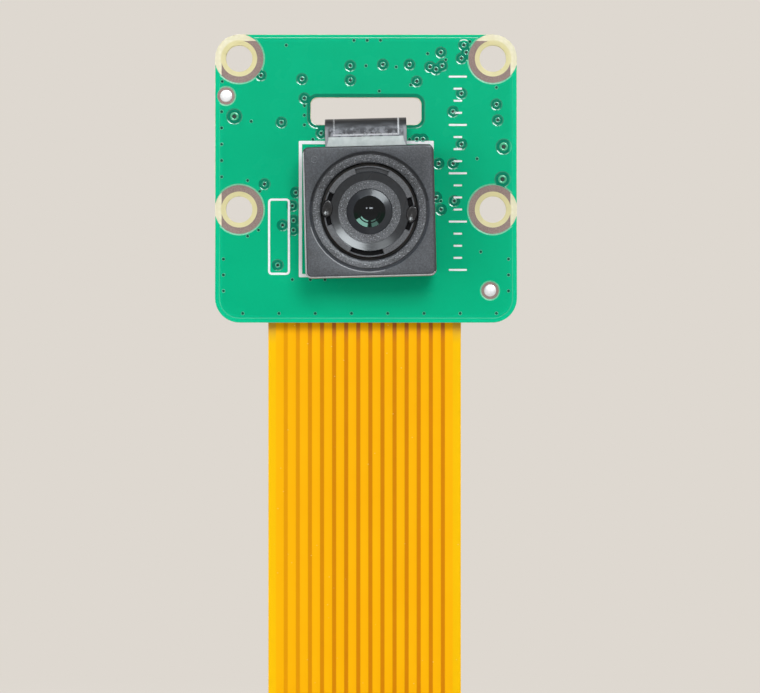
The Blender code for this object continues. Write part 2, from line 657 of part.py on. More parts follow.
# Sensor flex and its plug on the back
def make_sensor_flex():
    depth = MODULE_BOARD_LOW + MODULE_BOARD_THICKNESS / 2
    start = MODULE_BOARD_SIZE / 2 + GAP
    back = -BOARD_THICKNESS - FLEX_BACK_DEPTH
    radius = (depth - back) / 2
    top = FLEX_TOP_Y - MODULE_OFFSET_Y - FLEX_THICKNESS / 2
    bend_centre = (top - radius, (depth + back) / 2)
    path = [(start, depth)]
    path += arc(bend_centre, radius, math.pi / 2, -math.pi / 2, 16)
    path.append((FLEX_END_Y - MODULE_OFFSET_Y, back))
    flex = strip("sensor_flex", path, FLEX_WIDTH, FLEX_THICKNESS, FLEX_FILM, LENS_AXIS)
    flex.location.x = FLEX_SHIFT_X

    foot = start + GAP
    bead = [
        (-BEAD_FOOT_WIDTH / 2, foot),
        (BEAD_FOOT_WIDTH / 2, foot),
        (BEAD_TOP_WIDTH / 2, foot + BEAD_HEIGHT),
        (-BEAD_TOP_WIDTH / 2, foot + BEAD_HEIGHT),
    ]
    low = depth + FLEX_THICKNESS / 2 + GAP
    drop = sheet("flex_glue_bead", [bead], low, low + BEAD_THICKNESS, PALE_GLUE, LENS_AXIS)
    drop.location.x = FLEX_SHIFT_X


def make_flex_plug():
    socket_low = -GAP - SOCKET_SIZE[2]
    socket = centred_block("board_socket", SOCKET_SIZE, PLUG_CENTRE, socket_low, BLACK_PLASTIC, BOARD_FRAME)
    trench = (SOCKET_TRENCH[0], SOCKET_TRENCH[1], SOCKET_TRENCH[2] + GAP)
    trench_low = socket_low - GAP
    cut(socket, centred_block("socket_trench", trench, PLUG_CENTRE, trench_low, None, BOARD_FRAME, True))
    flex_face = -FLEX_BACK_DEPTH + FLEX_THICKNESS / 2
    plug_low = flex_face + GAP
    centred_block("flex_plug", PLUG_SIZE, PLUG_CENTRE, plug_low, GLOSS_BLACK, BOARD_FRAME)
    stiffener_low = -FLEX_BACK_DEPTH - FLEX_THICKNESS / 2 - GAP - FLEX_STIFFENER_SIZE[2]
    centred_block("flex_stiffener", FLEX_STIFFENER_SIZE, PLUG_CENTRE, stiffener_low, STEEL, BOARD_FRAME)


# Ribbon connector, with its contacts and its sliding latch
def way_positions():
    return [(index - (WAYS - 1) / 2) * WAY_PITCH for index in range(WAYS)]


def across(half_width, low_y, high_y, front, back):
    """Corners of a box on the back, centred in x, between two depths behind the board."""
    return (-half_width, low_y, -back), (half_width, high_y, -front)


def make_connector_housing():
    body = across(CONNECTOR_WIDTH / 2, CONNECTOR_FOOT_Y, CONNECTOR_TOP_Y, GAP, GAP + CONNECTOR_HEIGHT)
    housing = block("connector_housing", *body, IVORY_PLASTIC, BOARD_FRAME)
    below = CONNECTOR_FOOT_Y - CABLE_DEPTH
    mouth = across(MOUTH_WIDTH / 2, below, MOUTH_END_Y, MOUTH_FRONT, MOUTH_BACK)
    pocket = across(MOUTH_WIDTH / 2, below, WEDGE_POCKET_END_Y, MOUTH_FRONT + GAP, WEDGE_POCKET_BACK)
    cut(housing, block("cable_mouth", *mouth, None, BOARD_FRAME, True))
    cut(housing, block("wedge_pocket", *pocket, None, BOARD_FRAME, True))
    for index, x in enumerate(way_positions()):
        low = (x - CHANNEL_WIDTH / 2, CHANNEL_END_Y, -MOUTH_FRONT - GAP)
        high = (x + CHANNEL_WIDTH / 2, CONNECTOR_TOP_Y + CABLE_DEPTH, -CHANNEL_FRONT)
        cut(housing, block(f"contact_channel_{index}", low, high, None, BOARD_FRAME, True))


def make_contacts():
    """Sprung contacts: a solder tail, a riser and a beam whose tip bears on the cable."""
    tail = CONTACT_STOCK + GAP
    beam_back = CONTACT_BEAM_DEPTH + CONTACT_STOCK
    riser_inner = CONTACT_RISER_Y - CONTACT_STOCK
    tip_end = CONTACT_BEAM_END_Y + CONTACT_TIP_SLOPE
    tip_start = tip_end + CONTACT_TIP_FLAT
    outline = [
        (CONTACT_TAIL_END_Y, -GAP),
        (CONTACT_TAIL_END_Y, -tail),
        (CONTACT_RISER_Y, -tail),
        (CONTACT_RISER_Y, -beam_back),
        (tip_start + CONTACT_TIP_SLOPE, -beam_back),
        (tip_start, -CONTACT_TIP_DEPTH),
        (tip_end, -CONTACT_TIP_DEPTH),
        (CONTACT_BEAM_END_Y, -beam_back),
        (CONTACT_BEAM_END_Y, -CONTACT_BEAM_DEPTH),
        (riser_inner, -CONTACT_BEAM_DEPTH),
        (riser_inner, -GAP),
    ]
    for index, x in enumerate(way_positions()):
        low = x - CONTACT_WIDTH / 2
        name = f"contact_{index + 1:02d}"
        contact = sheet(name, [outline], low, low + CONTACT_WIDTH, TIN, BOARD_FRAME)
        contact.rotation_euler = (math.radians(90), 0, math.radians(90))
        contact.location = (x, 0, 0)


def make_hold_downs():
    for name, side in (("hold_down_left", -1), ("hold_down_right", 1)):
        centre = (side * (CONNECTOR_WIDTH / 2 + GAP + HOLD_DOWN_SIZE[0] / 2), HOLD_DOWN_Y)
        centred_block(name, HOLD_DOWN_SIZE, centre, -GAP - HOLD_DOWN_SIZE[2], TIN, BOARD_FRAME)


def make_latch():
    """A bar across the mouth, with a slot for the cable, a wedge behind it and an arm at each end."""
    guide_y = CONNECTOR_FOOT_Y
    guide_z = CABLE_DEPTH

    def from_guide(low, high):
        shift = Vector((0, guide_y, -guide_z))
        return Vector(low) - shift, Vector(high) - shift

    bar_top = CONNECTOR_FOOT_Y - 1.5 * GAP
    bar = across(LATCH_HALF_WIDTH, LATCH_FOOT_Y, bar_top, LATCH_FRONT, LATCH_BACK)
    latch = block("connector_latch", *from_guide(*bar), BLACK_PLASTIC, LATCH_GUIDE)
    below = LATCH_FOOT_Y - guide_z
    slot = across(MOUTH_WIDTH / 2, below, CONNECTOR_FOOT_Y, MOUTH_FRONT - GAP, MOUTH_BACK + GAP)
    cut(latch, block("latch_slot", *from_guide(*slot), None, LATCH_GUIDE, True))
    root_y = (bar_top + LATCH_FOOT_Y) / 2
    wedge = across(LATCH_WEDGE_WIDTH / 2, root_y, LATCH_WEDGE_END_Y, LATCH_WEDGE_FRONT, LATCH_WEDGE_BACK)
    join(latch, block("latch_wedge", *from_guide(*wedge), None, LATCH_GUIDE, True))
    inner = CONNECTOR_WIDTH / 2 + 3 * GAP
    outer = LATCH_HALF_WIDTH - 2 * GAP
    for name, side in (("latch_arm_left", -1), ("latch_arm_right", 1)):
        near, far = sorted((side * inner, side * outer))
        arm = (near, root_y, -LATCH_ARM_BACK), (far, LATCH_ARM_END_Y, -LATCH_ARM_FRONT)
        join(latch, block(name, *from_guide(*arm), None, LATCH_GUIDE, True))


# Small parts on the back
def make_small_parts():
    low = -GAP - REGULATOR_SIZE[2]
    for index in range(REGULATOR_COUNT):
        centre = (REGULATOR_X, REGULATOR_FIRST_Y + index * REGULATOR_STEP_Y)
        centred_block(f"regulator_{index + 1}", REGULATOR_SIZE, centre, low, GLOSS_BLACK, BOARD_FRAME)
    low = -GAP - OSCILLATOR_SIZE[2]
    centred_block("oscillator", OSCILLATOR_SIZE, OSCILLATOR_CENTRE, low, TIN, BOARD_FRAME)


# Ribbon cable
def roll_turn():
    """How far the roll winds, in radians, so that the whole cable has its length."""
    straight = CABLE_TOP_Y - ROLL_START_Y
    wound = CABLE_LENGTH - straight - CURL_RADIUS * CURL_TURN - FLAT_END
    shrink = ROLL_PITCH / (2 * math.pi)
    return (ROLL_RADIUS - math.sqrt(ROLL_RADIUS ** 2 - 2 * shrink * wound)) / shrink


def roll_path():
    """The rolled length as (y, z) points: turns that shrink steadily, a tighter curl and a flat end."""
    total = roll_turn()
    steps = math.ceil(total / (2 * math.pi) * ROLL_POINTS_PER_TURN)
    shrink = ROLL_PITCH / (2 * math.pi)
    bends = []
    for step in range(steps):
        turn = total / steps
        bends.append((turn, ROLL_RADIUS - shrink * turn * (step + 0.5)))
    bends += [(CURL_TURN / CURL_STEPS, CURL_RADIUS)] * CURL_STEPS
    point = Vector((ROLL_START_Y, -CABLE_DEPTH))
    heading = math.pi
    path = [point.copy()]
    for turn, radius in bends:
        chord = 2 * radius * math.sin(turn / 2)
        middle = heading + turn / 2
        point = point + chord * Vector((math.cos(middle), math.sin(middle)))
        heading += turn
        path.append(point.copy())
    ahead = Vector((math.cos(heading), math.sin(heading)))
    path.append(point + FLAT_END * ahead)
    return path, ahead


def least_gap(path, thickness):
    """Least clear distance between turns of the roll, measured from points to the strip's segments."""
    best = math.inf
    apart = ROLL_POINTS_PER_TURN // 2
    for index, point in enumerate(path):
        for other in range(index + apart, len(path) - 1):
            start = path[other]
            along = path[other + 1] - start
            share = max(0.0, min(1.0, (point - start).dot(along) / along.length_squared))
            best = min(best, (point - start - share * along).length)
    return best - thickness


def path_length(path):
    return sum((Vector(b) - Vector(a)).length for a, b in zip(path, path[1:]))


def make_cable():
    meeting_gap = 2 * GAP
    stretch = [(CABLE_TOP_Y, -CABLE_DEPTH), (ROLL_START_Y + meeting_gap, -CABLE_DEPTH)]
    strip("cable_stretch", stretch, CABLE_WIDTH, CABLE_THICKNESS, AMBER_FILM, BOARD_FRAME)
    path, ahead = roll_path()
    strip("cable_roll", path, CABLE_WIDTH, CABLE_THICKNESS, AMBER_FILM, BOARD_FRAME)

    offset = CABLE_THICKNESS / 2 + CABLE_STIFFENER_THICKNESS / 2 + GAP
    near_depth = -CABLE_DEPTH - offset
    near = [(CABLE_TOP_Y, near_depth), (CABLE_TOP_Y - NEAR_STIFFENER_LENGTH, near_depth)]
    strip("near_stiffener", near, CABLE_WIDTH, CABLE_STIFFENER_THICKNESS, BLUE_STIFFENER, BOARD_FRAME)
    inward = Vector((-ahead.y, ahead.x))
    end = path[-1] + offset * inward
    far = [end - FAR_STIFFENER_LENGTH * ahead, end]
    strip("far_stiffener", far, CABLE_WIDTH, CABLE_STIFFENER_THICKNESS, BLUE_STIFFENER, BOARD_FRAME)

    total = path_length(stretch) + path_length(path)
    print(f"cable length {total / MM:.1f} mm, roll turns {roll_turn() / (2 * math.pi):.2f}")
    print(f"least gap of the roll to itself {least_gap(path, CABLE_THICKNESS) / MM:.2f} mm")
    return path


def make_tie(path):
    """A flat band round the turns at the back of the roll: through its core and over its outside."""
    axis_z = -CABLE_DEPTH - ROLL_RADIUS
    behind = [point.y for point in path if abs(point.x - ROLL_START_Y) < TIE_WIDTH and point.y < axis_z]
    turns = [z for z in behind if z < axis_z - ROLL_RADIUS / 2]
    low = min(turns) - CABLE_THICKNESS / 2 - TIE_SLACK
    high = max(turns) + CABLE_THICKNESS / 2 + TIE_SLACK
    inner_width = CABLE_WIDTH + 2 * TIE_SLACK
    outer_width = inner_width + 2 * TIE_THICKNESS
    inner_height = high - low
    outer_height = inner_height + 2 * TIE_THICKNESS
    middle = (0, (low + high) / 2)
    loops = [
        rounded_rectangle(outer_width, outer_height, TIE_CORNER + TIE_THICKNESS, middle, 4),
        rounded_rectangle(inner_width, inner_height, TIE_CORNER, middle, 4),
    ]
    tie = sheet("cable_tie", loops, -TIE_WIDTH / 2, TIE_WIDTH / 2, TIE_PLASTIC, BOARD_FRAME)
    tie.rotation_euler = (math.radians(90), 0, 0)
    tie.location = (0, ROLL_START_Y, 0)


make_circuit_board()
make_sensor_stack()
make_cover()
make_motor_frame()
make_carrier()
make_barrel()
make_lenses()
make_glue_dots()
make_sensor_flex()
make_flex_plug()
make_connector_housing()
make_contacts()
make_hold_downs()
make_latch()
make_small_parts()
make_tie(make_cable())
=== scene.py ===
# %% [markdown]
# # A small autofocus camera board
# The object is a camera board for robotics kits: a green circuit board 25 mm wide, a black lens
# module on its front, and an amber ribbon cable that hangs from a connector on its back.
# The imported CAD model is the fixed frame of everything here. Each piece below either gives a CAD
# part its finish, or stands in for it with a finer mesh in the same place and at the same size.

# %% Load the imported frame
import math

import bmesh
import bpy
from mathutils import Matrix, Vector, geometry


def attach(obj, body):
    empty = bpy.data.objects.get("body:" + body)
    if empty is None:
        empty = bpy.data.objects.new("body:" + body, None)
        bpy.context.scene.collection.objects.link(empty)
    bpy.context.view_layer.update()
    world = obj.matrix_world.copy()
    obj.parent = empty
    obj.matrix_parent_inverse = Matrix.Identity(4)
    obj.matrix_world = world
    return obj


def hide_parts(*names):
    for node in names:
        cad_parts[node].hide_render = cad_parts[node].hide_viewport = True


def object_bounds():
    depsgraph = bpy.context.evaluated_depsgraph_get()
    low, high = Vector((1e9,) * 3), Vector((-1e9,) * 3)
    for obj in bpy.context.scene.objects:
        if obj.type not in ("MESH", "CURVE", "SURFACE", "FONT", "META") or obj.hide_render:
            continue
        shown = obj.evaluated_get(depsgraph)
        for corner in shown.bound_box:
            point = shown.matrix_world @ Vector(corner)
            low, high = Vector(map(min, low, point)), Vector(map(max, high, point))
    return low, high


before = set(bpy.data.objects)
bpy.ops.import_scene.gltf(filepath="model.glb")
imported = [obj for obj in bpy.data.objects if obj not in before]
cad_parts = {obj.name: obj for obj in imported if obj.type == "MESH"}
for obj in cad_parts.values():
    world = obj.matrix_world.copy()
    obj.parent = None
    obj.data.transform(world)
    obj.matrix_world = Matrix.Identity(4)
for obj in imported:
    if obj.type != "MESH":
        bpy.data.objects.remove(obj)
cad_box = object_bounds()
MM = 0.001

# %% [markdown]
# ## The camera
# The photograph looks straight at the board from far away, so the sides of the module hardly show.
# A long lens at 0.6 m repeats that. The scale of the picture, in pixels per millimetre at the front
# face of the board, gives the focal length, so nothing has to be fitted by eye.

# %% Camera at the photograph's place
IMAGE_WIDTH = 760
PIXELS_PER_MM = 12.08
SENSOR_MM = 36.0
BOARD_FRONT = -1.0
BOARD_LOW = -9.362
CAMERA_DISTANCE = 600.0
VIEW_CENTRE_X = 1.159
VIEW_CENTRE_Z = -11.34

scene = bpy.context.scene
camera_data = bpy.data.cameras.new("camera")
camera_data.sensor_width = SENSOR_MM
camera_data.lens = SENSOR_MM * CAMERA_DISTANCE / (IMAGE_WIDTH / PIXELS_PER_MM)
camera = bpy.data.objects.new("camera", camera_data)
camera.location = (VIEW_CENTRE_X * MM, (BOARD_FRONT - CAMERA_DISTANCE) * MM, VIEW_CENTRE_Z * MM)
camera.rotation_euler = (math.pi / 2, 0, 0)
scene.collection.objects.link(camera)
scene.camera = camera
scene.view_settings.view_transform = "Standard"
print(f"focal length {camera_data.lens:.1f} mm")

# %% [markdown]
# ## Mixing finishes
# A finish is a node material. The classes below keep a node tree under construction and offer short
# ways to add noise, arithmetic, colour mixes and bump. A number in the tree is a Value, which takes
# the usual signs of arithmetic. Colours are written as picture values from 0 to 255, because that is
# how they are read off a picture, and are turned into the linear numbers that shaders take.


# %% Helpers for node trees
class Value:
    """A number in a node tree, so that arithmetic with nodes reads like any other."""

    def __init__(self, nodes, socket):
        self.nodes = nodes
        self.socket = socket

    def __add__(self, other):
        return self.nodes.math("ADD", self, other)

    def __sub__(self, other):
        return self.nodes.math("SUBTRACT", self, other)

    def __rsub__(self, other):
        return self.nodes.math("SUBTRACT", other, self)

    def __mul__(self, other):
        return self.nodes.math("MULTIPLY", self, other)

    def __truediv__(self, other):
        return self.nodes.math("DIVIDE", self, other)

    def __pow__(self, other):
        return self.nodes.math("POWER", self, other)

    def __abs__(self):
        return self.nodes.math("ABSOLUTE", self)


class Nodes:
    """A node tree under construction."""

    def __init__(self, tree):
        self.tree = tree

    def add(self, kind, inputs=None, **settings):
        """A new node with its settings, and its inputs wired to other nodes or filled in."""
        node = self.tree.nodes.new(kind)
        for key, value in settings.items():
            setattr(node, key, value)
        for key, value in (inputs or {}).items():
            self.feed(node.inputs[key], value)
        return node

    def feed(self, socket, value):
        """Wire an output into a socket, or write a plain value there."""
        source = value.socket if isinstance(value, Value) else value
        if isinstance(source, bpy.types.NodeSocket):
            self.tree.links.new(source, socket)
        else:
            socket.default_value = source

    def math(self, operation, *values):
        node = self.add("ShaderNodeMath", dict(enumerate(values)), operation=operation)
        return Value(self, node.outputs[0])

    def axes(self, vector):
        node = self.add("ShaderNodeSeparateXYZ", {0: vector})
        return [Value(self, output) for output in node.outputs]

    def seen_share(self):
        """1 for what the camera sees, straight, mirrored or through glass, and 0 for other rays."""
        path = self.add("ShaderNodeLightPath").outputs
        share = self.math("MAXIMUM", path["Is Camera Ray"], path["Is Glossy Ray"])
        return self.math("MAXIMUM", share, path["Is Transmission Ray"])


def srgb(red, green, blue):
    """Linear colour for a shader from picture values of 0 to 255."""
    linear = []
    for value in (red, green, blue):
        share = value / 255
        linear.append(share / 12.92 if share <= 0.04045 else ((share + 0.055) / 1.055) ** 2.4)
    return (*linear, 1.0)


print("node helpers ready")


# %% Helpers for finishes
class Finish(Nodes):
    """A material being mixed round its Principled shader."""

    def __init__(self, name, roughness, metallic=0.0):
        self.material = bpy.data.materials.new(name)
        self.material.use_nodes = True
        super().__init__(self.material.node_tree)
        self.shader = self.tree.nodes["Principled BSDF"]
        self.set("Roughness", roughness)
        self.set("Metallic", metallic)
        coordinates = self.add("ShaderNodeTexCoord")
        self.place = coordinates.outputs["Object"]
        self.uv = coordinates.outputs["UV"]

    def set(self, socket, value):
        self.feed(self.shader.inputs[socket], value)

    def noise(self, size, detail=2.0, stretch=(1, 1, 1)):
        """Soft noise whose blots are about size millimetres across, stretched along the axes."""
        scale = [1 / (size * MM * part) for part in stretch]
        mapping = self.add("ShaderNodeMapping", {"Vector": self.place, "Scale": scale})
        inputs = {"Vector": mapping.outputs[0], "Scale": 1.0, "Detail": detail}
        return Value(self, self.add("ShaderNodeTexNoise", inputs).outputs["Fac"])

    def step(self, value, low, high):
        """0 below low, 1 above high and a smooth rise between; low may be the larger one."""
        inputs = {"Value": value, "From Min": low, "From Max": high}
        node = self.add("ShaderNodeMapRange", inputs, interpolation_type="SMOOTHSTEP")
        return Value(self, node.outputs["Result"])

    def mix(self, share, first, second):
        """A mix of two colours, each from another node, in picture values or linear with its alpha."""
        colours = [srgb(*c) if isinstance(c, tuple) and len(c) == 3 else c for c in (first, second)]
        node = self.add("ShaderNodeMix", {0: share, 6: colours[0], 7: colours[1]}, data_type="RGBA")
        return Value(self, node.outputs[2])

    def bump(self, height, depth_mm):
        node = self.add("ShaderNodeBump", {"Height": height, "Strength": 1.0, "Distance": depth_mm * MM})
        self.set("Normal", node.outputs[0])


def grained(name, dark, light, size, roughness, grain_mm, metallic=0.0):
    """A finish with one grain that sets its colour, its roughness and its bump together."""
    finish = Finish(name, roughness, metallic)
    grain = finish.noise(size, 3.0)
    blots = finish.noise(size * 25, 2.0)
    finish.colour = finish.mix(finish.step(blots * 0.35 + grain * 0.65, 0.3, 0.7), dark, light)
    finish.set("Base Color", finish.colour)
    finish.set("Roughness", blots * 0.2 + (roughness - 0.1))
    finish.bump(grain, grain_mm)
    return finish


print("finish helpers ready")

# %% [markdown]
# ## Light, floor and background
# Product light. The shadow under the module is short, so most of the light comes from the front,
# a little above and right of the camera, with weak fill from above and from the left. These three
# lamps don't show in reflections. The crescents in the lens and on the via rims come from two soft
# lamps that are laid round the lens axis, and the glints in the glass from two small ones. Those
# four show as reflections only. One more lamp stands behind the object, and the surround is brighter
# there. The camera, mirrors and glass see the surround as a plain pale colour, and the floor fades
# into it, so that no horizon shows behind the board.

# %% Lamps
COOL_LIGHT = (0.90, 0.97, 1.0)
RIM_REACH = 0.43
RIM_DISTANCE = 0.36
RIM_HEIGHT = 0.20


def area_lamp(name, place, size, watts, along=(1, 0, 0)):
    """A lamp that shines from a place at the origin, with its width laid along a direction."""
    data = bpy.data.lights.new(name, "AREA")
    data.shape = "RECTANGLE"
    data.size, data.size_y = size
    data.energy = watts
    lamp = bpy.data.objects.new(name, data)
    lamp.location = place
    back = Vector(place).normalized()
    side = (Vector(along) - back * back.dot(Vector(along))).normalized()
    lamp.rotation_euler = Matrix((side, back.cross(side), back)).transposed().to_euler()
    scene.collection.objects.link(lamp)
    return lamp


def rim_lamp(name, azimuth, span, watts):
    """A lamp 50 degrees off the lens axis, over a span of directions round it, for reflections only."""
    turn = math.radians(azimuth)
    place = (RIM_REACH * math.cos(turn), -RIM_DISTANCE, RIM_REACH * math.sin(turn))
    width = 2 * RIM_REACH * math.tan(math.radians(span / 2))
    lamp = area_lamp(name, place, (width, RIM_HEIGHT), watts, (-math.sin(turn), 0, math.cos(turn)))
    lamp.data.color = COOL_LIGHT
    lamp.visible_diffuse = False


for name, place, size, watts in (
    ("front_lamp", (0.07, -0.66, 0.17), (0.16, 0.16), 1.95),
    ("top_lamp", (0.05, -0.20, 0.60), (0.30, 0.20), 0.6),
    ("left_lamp", (-0.35, -0.58, 0.05), (0.45, 0.45), 1.75),
):
    area_lamp(name, place, size, watts).visible_glossy = False
rim_lamp("crescent_lamp", 58, 47, 4.3)
rim_lamp("window_lamp", 112, 27, 0.75)
area_lamp("back_lamp", (-0.30, 0.50, 0.35), (0.40, 0.30), 2.2)
for name, across, width, watts in (
    ("glint_lamp", 0.035, 0.07, 0.16),
    ("small_glint_lamp", -0.065, 0.03, 0.05),
):
    area_lamp(name, (across, -0.50, 0.085), (width, 0.025), watts).visible_diffuse = False
print(f"{len(bpy.data.lights)} lamps")

# %% World and floor
BACKDROP = srgb(222, 216, 208)
AMBIENT_STRENGTH = 0.13
BEHIND_STRENGTH = 0.8
FLOOR_HALF = 3.0
FLOOR_DROP = 0.0001
FADE_START, FADE_END = 0.10, 0.40

scene.world = bpy.data.worlds.new("studio")
scene.world.use_nodes = True
sky = Nodes(scene.world.node_tree)
_, backwards, _ = sky.axes(sky.add("ShaderNodeTexCoord").outputs["Generated"])
rise = {"From Min": 0.0, "From Max": 0.9, "To Min": AMBIENT_STRENGTH, "To Max": BEHIND_STRENGTH}
strength = sky.add("ShaderNodeMapRange", {"Value": backwards, **rise})
ambient = sky.tree.nodes["Background"]
sky.feed(ambient.inputs["Color"], (1, 1, 1, 1))
sky.feed(ambient.inputs["Strength"], strength.outputs[0])
backdrop = sky.add("ShaderNodeBackground", {"Color": BACKDROP})
shaders = {0: sky.seen_share(), 1: ambient.outputs[0], 2: backdrop.outputs[0]}
chooser = sky.add("ShaderNodeMixShader", shaders)
sky.feed(sky.tree.nodes["World Output"].inputs["Surface"], chooser.outputs[0])

floor_mesh = bpy.data.meshes.new("floor")
floor_height = cad_box[0][2] - FLOOR_DROP
corners = [(FLOOR_HALF * x, FLOOR_HALF * y, floor_height) for x, y in ((-1, -1), (1, -1), (1, 1), (-1, 1))]
floor_mesh.from_pydata(corners, [], [(0, 1, 2, 3)])
floor = bpy.data.objects.new("floor", floor_mesh)
scene.collection.objects.link(floor)
paper = Finish("pale_paper", 0.9)
paper.set("Base Color", paper.mix(paper.noise(2.0, 4.0), (232, 228, 222), (238, 234, 228)))
distance = paper.add("ShaderNodeVectorMath", {0: paper.place}, operation="LENGTH").outputs["Value"]
far_share = paper.step(distance, FADE_START, FADE_END) * paper.seen_share()
far_away = paper.add("ShaderNodeEmission", {"Color": BACKDROP})
shaders = {0: far_share, 1: paper.shader.outputs[0], 2: far_away.outputs[0]}
fade = paper.add("ShaderNodeMixShader", shaders)
paper.feed(paper.tree.nodes["Material Output"].inputs["Surface"], fade.outputs[0])
floor_mesh.materials.append(paper.material)
print(f"floor at {floor_height / MM:.2f} mm")

# %% [markdown]
# ## Helpers for pieces
# Every piece is finished at the origin with its place in its mesh, and rides on one CAD body. Three
# ways of making meshes come back all the time. A skin joins rings of points, one ring after the
# other, which gives anything turned. A strip sweeps an outline along a path, which gives cables. A
# softened copy takes a CAD node's own mesh, merges its loose triangles and rounds its sharp edges,
# because real edges always catch a little light.


# %% Helpers for pieces
def in_metres(points):
    return [[value * MM for value in point] for point in points]


def mesh_from(name, points, faces):
    """A mesh from points in millimetres, its doubles merged and its normals set outwards."""
    mesh = bpy.data.meshes.new(name)
    mesh.from_pydata(in_metres(points), [], faces)
    clean = bmesh.new()
    clean.from_mesh(mesh)
    bmesh.ops.remove_doubles(clean, verts=clean.verts, dist=1e-8)
    bmesh.ops.recalc_face_normals(clean, faces=clean.faces)
    clean.to_mesh(mesh)
    clean.free()
    return mesh


def skin_faces(ring_count, ring_size, closed_path=False):
    """Quads between neighbouring rings of points, each ring closed on itself."""
    faces = []
    for ring in range(ring_count if closed_path else ring_count - 1):
        start = ring * ring_size
        after = (ring + 1) % ring_count * ring_size
        for step in range(ring_size):
            ahead = (step + 1) % ring_size
            faces.append((start + step, start + ahead, after + ahead, after + step))
    return faces


def strip(name, path, outline, place, side, width, unit):
    """An outline of (across, height) points swept along a path, with both ways in its UV map.

    place turns (across, spot on the path) into a point, side is 1 or -1 for the outer side, and UV
    holds the share of the width and the way along the path in units.
    """
    points = []
    shares = []
    travelled = 0.0
    for index, centre in enumerate(path):
        before = path[max(index - 1, 0)]
        after = path[min(index + 1, len(path) - 1)]
        ahead = (after - before).normalized()
        outward = Vector((ahead.y, -ahead.x)) * side
        travelled += (centre - before).length
        for across, height in outline:
            points.append(place(across, centre + outward * height))
            shares.append((across / width + 0.5, travelled / unit))
    size = len(outline)
    ends = [tuple(range(size)), tuple(range(len(points) - 1, len(points) - size - 1, -1))]
    mesh = bpy.data.meshes.new(name)
    mesh.from_pydata(in_metres(points), [], skin_faces(len(path), size) + ends)
    uv_map = mesh.uv_layers.new(name="along_the_strip")
    for loop in mesh.loops:
        uv_map.data[loop.index].uv = shares[loop.vertex_index]
    return mesh


def add_piece(name, mesh, finishes, body="board", stands_for=(), smooth_angle=35):
    """Put a finished mesh in the scene, let it ride on a body and hide the CAD parts that it stands for."""
    piece = bpy.data.objects.new(name, mesh)
    scene.collection.objects.link(piece)
    for finish in finishes:
        mesh.materials.append(finish.material)
    mesh.shade_smooth()
    mesh.set_sharp_from_angle(angle=math.radians(smooth_angle))
    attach(piece, body)
    if stands_for:
        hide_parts(*stands_for)
    return piece


def softened(node, finish, radius, body="board", segments=2, shift=0.0):
    """A merged copy of a CAD node with its sharp edges rounded, moved sideways by shift."""
    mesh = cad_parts[node].data.copy()
    soft = bmesh.new()
    soft.from_mesh(mesh)
    bmesh.ops.remove_doubles(soft, verts=soft.verts, dist=1e-7)
    flat = math.radians(0.5)
    bmesh.ops.dissolve_limit(soft, angle_limit=flat, verts=soft.verts, edges=soft.edges)
    sharp = [e for e in soft.edges if len(e.link_faces) == 2 and e.calc_face_angle() > math.radians(40)]
    bmesh.ops.bevel(
        soft, geom=sharp, offset=radius * MM, segments=segments, profile=0.5, affect="EDGES",
        clamp_overlap=True,
    )
    bmesh.ops.translate(soft, vec=(shift * MM, 0, 0), verts=soft.verts)
    soft.to_mesh(mesh)
    soft.free()
    mesh.materials.clear()
    return add_piece("soft_" + node, mesh, [finish], body, [node])


print("piece helpers ready")

# %% [markdown]
# ## The ribbon cable
# The cable is a 150 mm flat flexible printed cable: 15 copper tracks between two amber films. It
# could be a curve with a flat profile, but the tracks have to show as faint ridges and stripes
# that follow the cable round its roll. So its outline, with a ridge over every track, is swept
# along the route of the CAD cable, and a UV map keeps the place across and along the cable.

# %% Route of the cable
CABLE_LENGTH = 150.0
CABLE_WIDTH = 16.0
CABLE_THICKNESS = 0.20
CABLE_SHIFT = -0.12
CABLE_DEPTH = 1.30
CABLE_TOP = -4.4
STRAIGHT_STEP = 1.5
ROLL_START = -49.0
ROLL_RADIUS = 7.6
ROLL_PITCH = 0.9
ROLL_POINTS_PER_TURN = 48
CURL_RADIUS = 2.6
CURL_TURN = math.radians(100)
CURL_STEPS = 16
FLAT_END = 6.5
FLAT_STEPS = 4


def cable_route():
    """Centre line as (depth, height) points: down, round the roll, and out along the flat end."""
    straight = CABLE_TOP - ROLL_START
    wound = CABLE_LENGTH - straight - CURL_RADIUS * CURL_TURN - FLAT_END
    shrink = ROLL_PITCH / (2 * math.pi)
    total = (ROLL_RADIUS - math.sqrt(ROLL_RADIUS ** 2 - 2 * shrink * wound)) / shrink
    steps = math.ceil(total / (2 * math.pi) * ROLL_POINTS_PER_TURN)
    turn = total / steps
    moves = [(turn, ROLL_RADIUS - shrink * turn * (step + 0.5)) for step in range(steps)]
    moves += [(CURL_TURN / CURL_STEPS, CURL_RADIUS)] * CURL_STEPS
    moves = [(turn, 2 * radius * math.sin(turn / 2)) for turn, radius in moves]
    moves += [(0.0, FLAT_END / FLAT_STEPS)] * FLAT_STEPS
    count = math.ceil(straight / STRAIGHT_STEP)
    points = [Vector((CABLE_DEPTH, CABLE_TOP - straight * step / count)) for step in range(count + 1)]
    heading = -math.pi / 2
    for turn, chord in moves:
        heading += turn / 2
        points.append(points[-1] + chord * Vector((math.cos(heading), math.sin(heading))))
        heading += turn / 2
    return points


def on_cable(across, spot):
    return (across + CABLE_SHIFT, spot.x, spot.y)


route = cable_route()
route_length = sum((b - a).length for a, b in zip(route, route[1:]))
print(f"cable route {route_length:.1f} mm in {len(route)} points")

# %% Film of the cable
TRACK_COUNT = 15
TRACK_PITCH = 1.004
FIRST_GAP = -6.55
GAP_WIDTH = 0.34
RIDGE = 0.012
RIDGE_SLOPE = 0.05

